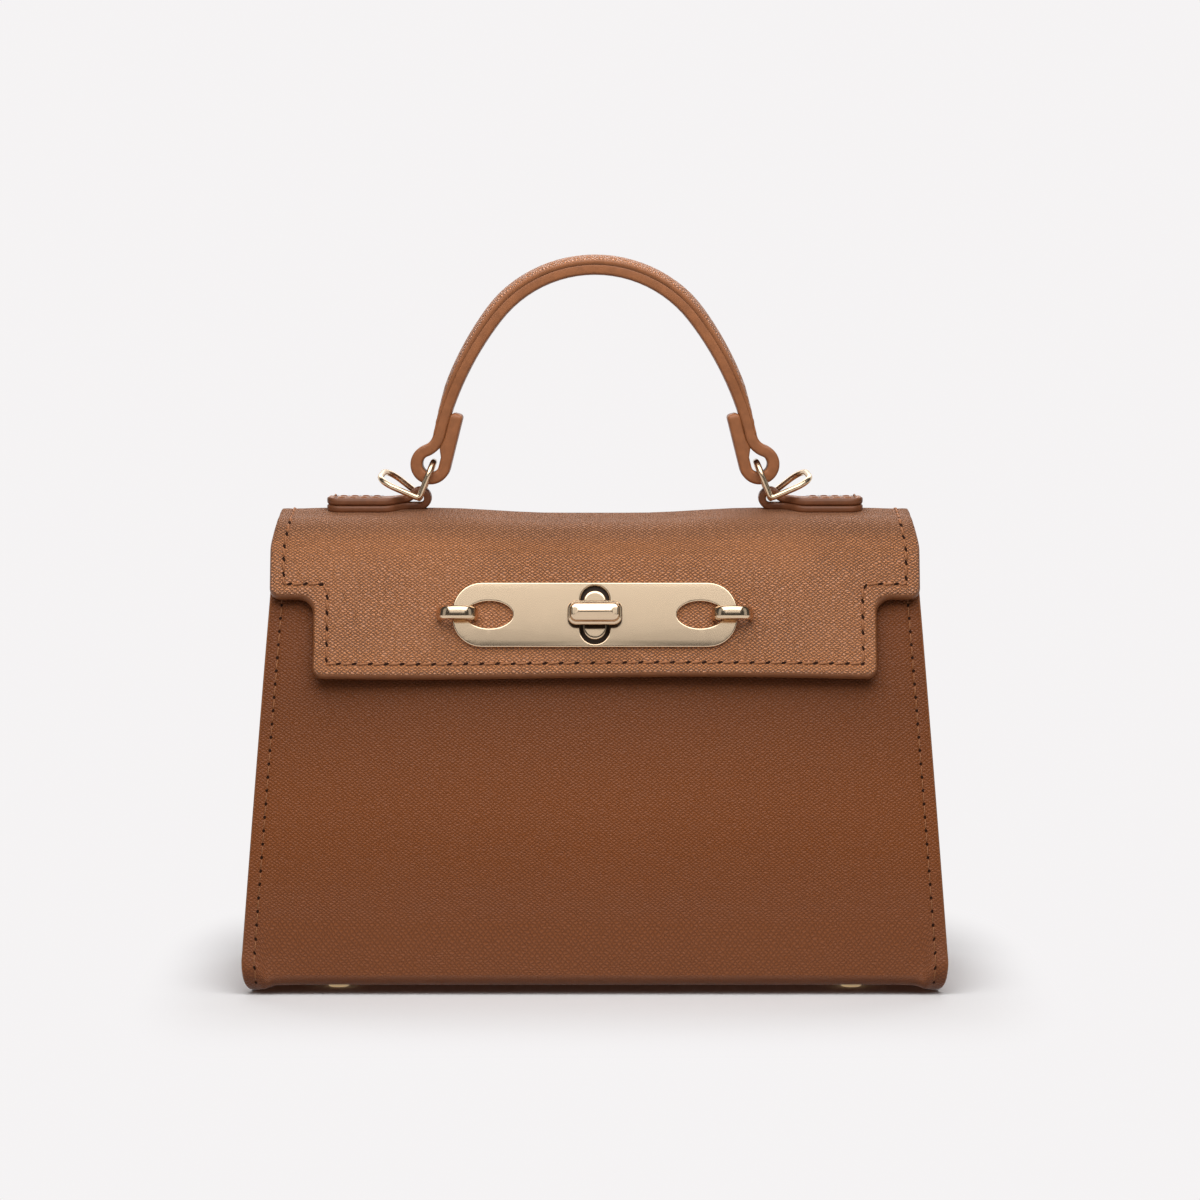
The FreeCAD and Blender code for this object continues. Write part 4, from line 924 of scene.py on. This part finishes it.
def handle_lines():
    """Right half of the handle: its arch, and the leg with the loop below. The wide bend is solved to meet both."""
    arch = ARCH_ROUND + STRAP / 2
    top = complex(0, HANDLE_TOP - COVER - STRAP / 2)
    arch_centre = top - 1j * arch
    shoulder = arch_centre + polar(arch, 90 - ARCH_TURN)
    fold = moved(flipped(folded_end(LOOP_BORE, STRAP, LOOP_GAP, LOOP_NECK, LOOP_TAIL)), LOOP, LEG_TILT)
    neck = stretch_end(fold[-1])
    first, last = math.radians(ARCH_TURN), math.radians(90 - LEG_TILT)
    side = complex(math.sin(last) - math.sin(first), math.cos(last) - math.cos(first))
    run = complex(math.cos(last), -math.sin(last))
    way = neck - shoulder
    wide = (way.real * run.imag - way.imag * run.real) / (side.real * run.imag - side.imag * run.real)
    centre = shoulder - polar(wide, 90 - ARCH_TURN)
    upper = [(top, arch_centre, -first), (shoulder, centre, first - last)]
    leg_start = stretch_end(upper[-1])
    return upper, [(leg_start, neck)] + backwards(fold)


upper, lower = handle_lines()
handle = Track(backwards(flipped(upper + lower)) + upper + lower)
arch = Track(backwards(flipped(upper)) + upper)


def handle_half_width(level):
    return 6.0 + smooth(171.0, 182.0, level)


def rounded_section(half_thick, half_wide, corner, turns=5):
    """Rounded oblong section, as pairs of outward and across, in order round it."""
    places = []
    for quarter in range(4):
        for step in range(turns + 1):
            bend = cmath.rect(corner, math.pi / 2 * (quarter + step / turns))
            middle = complex((half_wide - corner) * (1 if quarter in (0, 3) else -1),
                             (half_thick - corner) * (1 if quarter in (0, 1) else -1))
            spot = middle + bend
            places.append((spot.imag, spot.real))
    return places


def upright(track):
    """Puts what is swept along a track in the handle's upright plane."""
    def place(across, along, out):
        spot, _ = track.at(along, out)
        return spot.real, TOP_MIDDLE + across, spot.imag

    return place


arch_place = upright(arch)


def strap_section(along):
    """Rounded at both ends. The tails are thicker towards the leg, so that they lie close against it."""
    level = handle.at(along)[0].imag
    near = min(along, handle.length - along)
    rest = max(0.0, 1.2 - near) / 1.2
    share = math.sqrt(max(1 - rest * rest, 0.02))
    snug = (0.17 + 0.38 * smooth(8.0, 10.8, near)) * smooth(0.0, 1.5, near) * smooth(-13.5, -11.2, -near)
    half = STRAP / 2 * (0.35 + 0.65 * share) + snug
    section = rounded_section(half, handle_half_width(level) - 1.2 * (1 - share), min(0.9, half * 0.9))
    return [(out - snug, across) for out, across in section]


bm = swept(handle.stations(3.0, 6.0, STRAP_ENDS), strap_section, upright(handle))
as_piece("handle_strap_leather", bm, [rim_paint], "handle", ["handle_strap"])


def crown(along, across):
    """Height of the cover above the strap: painted sides, a grained dome between them, and rounded ends."""
    level = arch.at(along)[0].imag
    rise = 0.08
    for low, high, gain in ((164.0, 176.0, 1.25), (174.0, 202.0, 1.2)):
        rise += gain * min(max((level - low) / (high - low), 0.0), 1.0)
    wide = handle_half_width(level)
    dome = max(0.0, 1 - (across / wide) ** 2) ** 0.7
    return rise * (0.3 + 0.7 * dome)


def crown_section(along):
    wide = handle_half_width(arch.at(along)[0].imag)
    places = [(STRAP / 2 - 0.6, -wide + 0.02)]
    for share in range(19):
        across = -wide * math.cos(math.pi * share / 18)
        places.append((STRAP / 2 + crown(along, across), across))
    return places + [(STRAP / 2 - 0.6, wide - 0.02)]


bm = swept(arch.stations(3.0, 4.0, STRAP_ENDS), crown_section, arch_place, (0, 1, 2, 19, 20))
as_piece("handle_cover_leather", bm, [leather, rim_paint], "handle", ["handle_cover"])


def crown_place(across, along, height):
    return arch_place(across, along, STRAP / 2 + crown(along, across) + height)


low, high = 2.0, arch.length - 2.0
marks = [low] + every(low, high, 4.0) + [high]
rows = [[complex(side * (handle_half_width(arch.at(mark)[0].imag) - 1.7), mark) for mark in marks] for side in (-1, 1)]
sew("handle_cover", rows, crown_place, 3.4, "handle", 0.17, (0.5, 0.26), 0.2)


# Tabs: a strap folded round the ring's bar and sewn flat on the flap's top
TAB, TAB_HALF, TAB_LEVEL, TAB_LENGTH, TAB_ROUND = 2.05, 1.1, 143.35, 27.6, 4.0
RING_REACH, TAB_REACH = 52.4, 80.0


def tab_track(side):
    fold = folded_end(1.3, TAB, 0.1, 3.0, TAB_LENGTH)
    top = stretch_end(fold[-1])
    fold.append((top, complex(top.real, TAB_LENGTH)))
    line = fold if side > 0 else flipped(fold)
    return Track(moved(line, complex(side * RING_REACH, TAB_LEVEL), -side * 90))


def tab_half_width(reach):
    """Half the tab's width at a distance from the bag's middle."""
    wide = 3.8 + 4.7 * smooth(55.5, 62.5, reach)
    left = TAB_REACH - reach
    if left < TAB_ROUND:
        wide -= TAB_ROUND - math.sqrt(max(TAB_ROUND ** 2 - (TAB_ROUND - left) ** 2, 0.0))
    return max(wide, 2.0)


def make_tab(hand, side):
    name = hand + "_tab_leather"
    track = tab_track(side)

    def place(across, along, out):
        spot, _ = track.at(along, out)
        return spot.real, TOP_MIDDLE + across, spot.imag - top_fall(TOP_MIDDLE + across)

    def section(along):
        reach = abs(track.at(along)[0].real)
        near = min(along, track.length - along)
        share = math.sqrt(max(1 - (max(0.0, 0.9 - near) / 0.9) ** 2, 0.03))
        half = TAB_HALF * (0.3 + 0.7 * share)
        return rounded_section(half, tab_half_width(reach), 0.72 * half)

    sides = [index for index in range(24) if index % 6 != 0 or index in (0, 12)]
    bm = swept(track.stations(1.6, 7.0, TAB_ENDS), section, place, sides)
    as_piece(name, bm, [leather, shaded_tab_paint], "flap", [hand + "_handle_tab"])
    last = track.start_of(3) + 7.0
    row = []
    for step in range(24):
        along = last + (track.length - 2.2 - last) * step / 23
        row.append(complex(tab_half_width(abs(track.at(along)[0].real)) - 2.0, along))
    far = [complex(-place.real, place.imag) for place in reversed(row)]
    top = 1 if track.at(track.length)[1].imag > 0 else -1
    sew(name, [row + far], lambda across, along, height: place(across, along, top * (TAB_HALF + height)), 3.4,
        "flap", 0.16, (0.5, 0.26), 0.14)


for hand, side in SIDES:
    make_tab(hand, side)


# Lock: a plate under two staples, and a turning bar over a base in its slot
LOCK, OUTWARD, UPWARD = complex(-29.7522, 110.0), polar(1, 180 - FLAP_LEAN), polar(1, 90 - FLAP_LEAN)
PLATE_LONG, PLATE_HIGH, PLATE_ROUND, PLATE_CROWN = 41.85, 9.7, 8.7, 0.14
EYE_AT, EYE_LONG, EYE_HIGH = 30.9, 6.75, 4.0
BAR_BACK = 4.5


def lock_place(across, up, height):
    spot = LOCK + UPWARD * up + OUTWARD * height
    return across, spot.real, spot.imag


def oblong_border(half_long, half_high, corner):
    spots = [(complex(half_long, -half_high), corner), (complex(half_long, half_high), corner)]
    return corner_border(mirrored(spots), 9)


def eye_border(middle, half_long, half_high):
    """An oval hole: an inset of the plate widens it."""
    turns = [math.tau * step / 40 for step in range(40)]
    return lambda inset: [middle + complex((half_long + inset) * math.cos(turn), (half_high + inset) * math.sin(turn))
                          for turn in turns]


def slot_border(half_wide, half_high):
    upper = [polar(1, angle) for angle in range(0, 181, 12)]
    return lambda inset: ([1j * (half_high - half_wide) + place * (half_wide + inset) for place in upper]
                          + [-1j * (half_high - half_wide) - place * (half_wide + inset) for place in upper])


def filled(border):
    """What fills a hole: an inset narrows it."""
    return lambda inset: border(-inset)


def metal_piece(name, bm, body, node, finishes=None):
    """Flat faces stay flat beside the rounded edges."""
    piece = as_piece(name, bm, finishes or [gilt], body, [node])
    piece.modifiers.new("even_faces", "WEIGHTED_NORMAL").weight = 100


plate_profile = [(0.5, 1.5), (0.34, 1.48), (0.2, 1.41), (0.08, 1.26), (0.0, 1.0), (0.0, 0.3), (0.1, 0.1), (0.3, 0.0),
                 (0.5, 0.0)]
plate_borders = [oblong_border(PLATE_LONG, PLATE_HIGH, PLATE_ROUND), slot_border(4.3, 8.65),
                 eye_border(-EYE_AT, EYE_LONG, EYE_HIGH), eye_border(EYE_AT, EYE_LONG, EYE_HIGH)]


def plate_place(across, up, height):
    """The plate is pressed with a very shallow crown."""
    return lock_place(across, up, height - PLATE_CROWN * (up / PLATE_HIGH) ** 2)


bm = rounded_sheet(plate_borders, plate_profile, cuts_along=every(-9.0, 9.0, 1.5))
metal_piece("lock_plate_polished", put_in_place(bm, plate_place), "flap", "lock_plate")

base_profile = [(0.9, 0.95), (0.55, 0.93), (0.28, 0.85), (0.08, 0.66), (0.0, 0.48), (0.0, 0.36), (-0.72, 0.34),
                (-0.78, 0.1), (1.6, -0.2)]
# The base's lower sides and its foot take the near-black finish: painted shade in the gap round it.
bm = rounded_sheet([filled(slot_border(3.5, 7.35))], base_profile, rim=(4, 5, 6, 7))
# A thin near-black sheet under the slot: painted shade between the base and the plate.
well = rounded_sheet([filled(slot_border(4.28, 8.62))], [(0.3, 0.34), (0.0, 0.32), (0.0, 0.1), (0.3, 0.1)])
for face in well.faces:
    face.material_index = 1
metal_piece("lock_base_dome", put_in_place(joined(bm, well), lock_place), "flap", "lock_base", [gilt, recess_shade])

bar_profile = [(inset, 8.0) for inset in (3.5, 3.1, 2.7, 2.3, 1.9)]
bar_profile += [(1.5, 7.97), (1.2, 7.85), (0.95, 7.6), (0.82, 7.2), (0.78, 6.6), (0.76, 5.6), (0.62, 5.4), (0.35, 5.3),
                (0.12, 5.1), (0.0, 4.8), (0.0, 4.4), (0.3, 3.9), (0.8, 3.5), (1.2, 3.4), (2.4, 3.4)]


def bar_place(across, up, height):
    """The bar's face falls away above and below a soft ridge."""
    return lock_place(across, up, height - 0.36 * (math.hypot(up, 0.3) - 0.3) * smooth(5.6, 7.6, height))


bar = rounded_sheet([oblong_border(8.0, 3.6, 2.6)], bar_profile)
neck = rounded_sheet([filled(eye_border(0, 2.4, 2.4))], [(0.2, 3.6), (0.0, 3.4), (0.0, 0.9), (0.2, 0.65)])
# The bar's underside and its neck take the near-black finish: painted shade below the bar.
for face in bar.faces[:] + neck.faces[:]:
    face.material_index = int(max(vert.co.z for vert in face.verts) < BAR_BACK)
bar = joined(put_in_place(bar, bar_place), put_in_place(neck, lock_place))
metal_piece("lock_knob_bar", bar, "knob", "lock_knob", [gilt, recess_shade])


STAPLE_AT, STAPLE_HALF, STAPLE_HIGH, STAPLE_ROUND, STAPLE_ROOT, BAND_SIDES = 40.35, 5.3, 5.2, 4.3, -1.7, 24


def band_section(along):
    """Half-round section of a staple, the same all along it."""
    places = []
    for step in range(BAND_SIDES):
        turn = math.tau * step / BAND_SIDES
        out, across = math.sin(turn), math.cos(turn)
        thick = 0.95 * math.copysign(abs(out) ** 0.8, out)
        places.append((thick, 1.95 * math.copysign(abs(across) ** 0.75, across)))
    return places


def make_staple(hand, side):
    """A band bent over the plate's end."""
    bent = Track(rounded_line(((complex(-STAPLE_HALF, STAPLE_ROOT), 0),
                               (complex(-STAPLE_HALF, STAPLE_HIGH), STAPLE_ROUND),
                               (complex(STAPLE_HALF, STAPLE_HIGH), STAPLE_ROUND),
                               (complex(STAPLE_HALF, STAPLE_ROOT), 0))))

    def place(across, along, out):
        spot, _ = bent.at(along, out)
        return lock_place(side * STAPLE_AT + spot.real, across, spot.imag)

    bm = swept(bent.stations(1.7, 6.0), band_section, place)
    metal_piece(hand + "_staple_band", bm, "flap", hand + "_staple")


for hand, side in SIDES:
    make_staple(hand, side)


# Rings: one wire bent into two loops, with a bar between them
WIRE, BAR_WIRE, WIRE_SIDES = 0.9, 0.85, 16
RING_HALF, BAR_HALF, RING_LEG, FREE_LEG = 7.8, 7.6, 11.4, 13.4


def rounded_wire(corners, turns=9):
    """Closed line through corners with their radii, each corner turned in even steps."""
    places = []
    for index, (corner, radius) in enumerate(corners):
        back = (corners[index - 1][0] - corner).normalized()
        ahead = (corners[(index + 1) % len(corners)][0] - corner).normalized()
        half = back.angle(ahead) / 2
        reach = radius / math.tan(half)
        centre = corner + (back + ahead).normalized() * radius / math.sin(half)
        first, last = corner + back * reach - centre, corner + ahead * reach - centre
        sweep = first.angle(last)
        for step in range(turns):
            share = step / (turns - 1)
            arm = first * math.sin((1 - share) * sweep) + last * math.sin(share * sweep)
            places.append(centre + arm / math.sin(sweep))
    return places


def drawn_wire(places, radius, closed):
    """A round wire through places, its section carried along without twist."""
    bm = bmesh.new()
    count = len(places)
    rings = []
    side = Vector((0.3, 0.5, 0.8))
    for index, place in enumerate(places):
        before = places[index - 1] if closed or index else place
        after = places[(index + 1) % count] if closed or index < count - 1 else place
        way = (after - before).normalized()
        side = (side - way * side.dot(way)).normalized()
        other = way.cross(side)
        turns = [math.tau * step / WIRE_SIDES for step in range(WIRE_SIDES)]
        rings.append([bm.verts.new((place + (side * math.cos(turn) + other * math.sin(turn)) * radius) * MM)
                      for turn in turns])
    skin(bm, rings)
    if closed:
        last, first = rings[-1], rings[0]
        shift = min(range(WIRE_SIDES), key=lambda turn: (first[turn].co - last[0].co).length)
        first = first[shift:] + first[:shift]
        for turn in range(WIRE_SIDES):
            bm.faces.new((last[turn - 1], last[turn], first[turn], first[turn - 1]))
    else:
        bm.faces.new(rings[0])
        bm.faces.new(rings[-1])
    bmesh.ops.recalc_face_normals(bm, faces=bm.faces[:])
    return bm


def make_ring(hand, side):
    middle = Vector((side * RING_REACH, TOP_MIDDLE, TAB_LEVEL))

    def leg(fore, length, rise):
        rise = math.radians(rise)
        return middle + Vector((side * length * math.cos(rise), fore, length * math.sin(rise)))

    front, back = [middle + Vector((0, fore, 0)) for fore in (-RING_HALF, RING_HALF)]
    loop = rounded_wire([(front, 1.1), (leg(-RING_HALF, RING_LEG, 111.0), 4.6), (leg(RING_HALF, RING_LEG, 111.0), 4.6),
                         (back, 1.1), (leg(RING_HALF, FREE_LEG, 38.5), 5.6), (leg(-RING_HALF, FREE_LEG, 23.0), 5.6)])
    bar = [middle + Vector((0, fore, 0)) for fore in (-BAR_HALF, 0.0, BAR_HALF)]
    bm = joined(drawn_wire(loop, WIRE, True), drawn_wire(bar, BAR_WIRE, False))
    as_piece(hand + "_ring_wire", bm, [wire_gilt], hand + "_double_ring", [hand + "_ring"])


for hand, side in SIDES:
    make_ring(hand, side)


# Feet: turned studs
FOOT_ACROSS, FOOT_FORE, FOOT_SIDES = 75.7, 27.0, 28
FOOT_PROFILE = (2.4, 0.0), (2.85, 0.12), (3.05, 0.45), (3.4, 2.0), (3.5, 2.45), (3.5, 2.8)


def make_feet():
    bm = bmesh.new()
    turns = [math.tau * turn / FOOT_SIDES for turn in range(FOOT_SIDES)]
    for across in (-FOOT_ACROSS, FOOT_ACROSS):
        for fore in (-FOOT_FORE, FOOT_FORE):
            rings = []
            for radius, level in FOOT_PROFILE:
                places = [(across + radius * math.cos(turn), fore + radius * math.sin(turn), level) for turn in turns]
                rings.append([bm.verts.new(Vector(place) * MM) for place in places])
            skin(bm, rings)
            bm.faces.new(rings[0])
            bm.faces.new(rings[-1])
    bmesh.ops.recalc_face_normals(bm, faces=bm.faces[:])
    metal_piece("turned_feet", bm, "bag", "feet", [satin_gilt])


make_feet()


# Boards, magnets and washers inside keep the shape of their solids
def dress(finish, *names):
    for name in names:
        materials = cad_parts[name].data.materials
        materials.clear()
        materials.append(finish)


dress(zinc, "staple_washers", "lock_backplate", "knob_retainer", "foot_washers", "body_magnets", "flap_magnets")
dress(board, "base_board", "front_stiffener", "back_stiffener")


# Pale studio
PAPER_WHITE = (0.915, 0.898, 0.902)
SWEEP_FLAT, SWEEP_ROUND, SWEEP_HALF = 1.2, 0.8, 3.0


def background_rays(finish):
    """Rays from the camera, and rays from polished metal or through glass: neither light the bag."""
    camera, glossy, through = [finish.node("LightPath", {}, output=name)
                               for name in ("Is Camera Ray", "Is Glossy Ray", "Is Transmission Ray")]
    return camera, glossy + through


def studio():
    bm = bmesh.new()
    rows = []
    profile = [(-2.5, 0.0), (0.0, 0.0), (SWEEP_FLAT, 0.0)]
    for degrees in range(10, 91, 10):
        turn = math.radians(degrees)
        profile.append((SWEEP_FLAT + SWEEP_ROUND * math.sin(turn), SWEEP_ROUND * (1 - math.cos(turn))))
    profile.append((2.0, 3.0))
    for depth, level in profile:
        rows.append([bm.verts.new((across, depth, level)) for across in (-SWEEP_HALF, SWEEP_HALF)])
    for one, two in zip(rows, rows[1:]):
        bm.faces.new((one[0], one[1], two[1], two[0]))
    mesh = bpy.data.meshes.new("paper_sweep")
    bm.to_mesh(mesh)
    bm.free()
    mesh.shade_smooth()
    paper = Finish("studio_paper")
    place = paper.node("TexCoord", {}, output=3)
    fibre = paper.noise(place, 60.0, 3.0)
    seen, mirrored_in = background_rays(paper)
    sheet = paper.mix(fibre, (0.89, 0.875, 0.875), (0.91, 0.895, 0.895))
    paper.shade(Base_Color=paper.mix(seen + mirrored_in, (0.28, 0.275, 0.275), sheet), Roughness=0.9)
    beside = paper.node("VectorMath", {"operation": "ABSOLUTE"}, place)
    beside = paper.node("VectorMath", {"operation": "SUBTRACT"}, beside, (0.1, 0.045, 0.0))
    beside = paper.node("VectorMath", {"operation": "MAXIMUM"}, beside, (0.0, 0.0, 0.0))
    beside = paper.node("VectorMath", {"operation": "MULTIPLY"}, beside, (3.0, 1.0, 1.0))
    far = paper.node("VectorMath", {"operation": "LENGTH"}, beside).step(0.0, 0.11)
    white = paper.node("Emission", {}, PAPER_WHITE, 1.0)
    plain = Tone(paper, paper.shader.outputs[0])
    shown = paper.node("MixShader", {}, far * seen + (0.45 + far * 0.55) * mirrored_in, plain, white)
    paper.fill(paper.tree.nodes["Material Output"].inputs["Surface"], shown)
    mesh.materials.append(paper.material)
    sweep = bpy.data.objects.new("paper_sweep", mesh)
    scene.collection.objects.link(sweep)
    sweep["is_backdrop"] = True


def lamp(name, place, target, size, power):
    data = bpy.data.lights.new(name, "AREA")
    data.shape = "RECTANGLE"
    data.size, data.size_y = size
    data.energy = power
    item = bpy.data.objects.new(name, data)
    item.location = place
    item.visible_camera = False
    item.rotation_euler = (Vector(target) - Vector(place)).to_track_quat("-Z", "Y").to_euler()
    scene.collection.objects.link(item)


studio()
lamp("key_box", (0.0, -0.22, 0.47), (0, 0, 0.09), (0.6, 0.42), 2.35)
lamp("back_box", (0.0, 1.0, 1.1), (0, 0, 0.05), (1.6, 0.8), 8.5)
lamp("front_card", (0.0, -1.95, 1.28), (0, 0, 0.1), (2.2, 0.8), 5.0)
lamp("left_box", (-1.5, -0.7, 0.7), (0, 0, 0.1), (0.6, 1.2), 1.0)
lamp("right_box", (1.5, -0.7, 0.7), (0, 0, 0.1), (0.6, 1.2), 1.0)

scene.world = bpy.data.worlds.new("studio_air")
air = Finish("studio_air", scene.world)
air.shade(Color=(0.92, 0.91, 0.91), Strength=0.07)
camera_ray = air.node("LightPath", {}, output="Is Camera Ray")
beyond = air.node("MixShader", {}, camera_ray, Tone(air, air.shader.outputs[0]),
                  air.node("Background", {}, PAPER_WHITE, 1.0))
air.fill(air.tree.nodes["World Output"].inputs["Surface"], beyond)
scene.view_settings.view_transform = "Standard"

camera_data = bpy.data.cameras.new("front_camera")
camera_data.sensor_width = 36.0
camera_data.lens = 130.2
camera = bpy.data.objects.new("front_camera", camera_data)
camera.location = (0.0015, -1.3, 0.2)
camera.rotation_euler = (math.radians(90 - 3.85), 0, 0)
scene.collection.objects.link(camera)
scene.camera = camera

low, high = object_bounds()
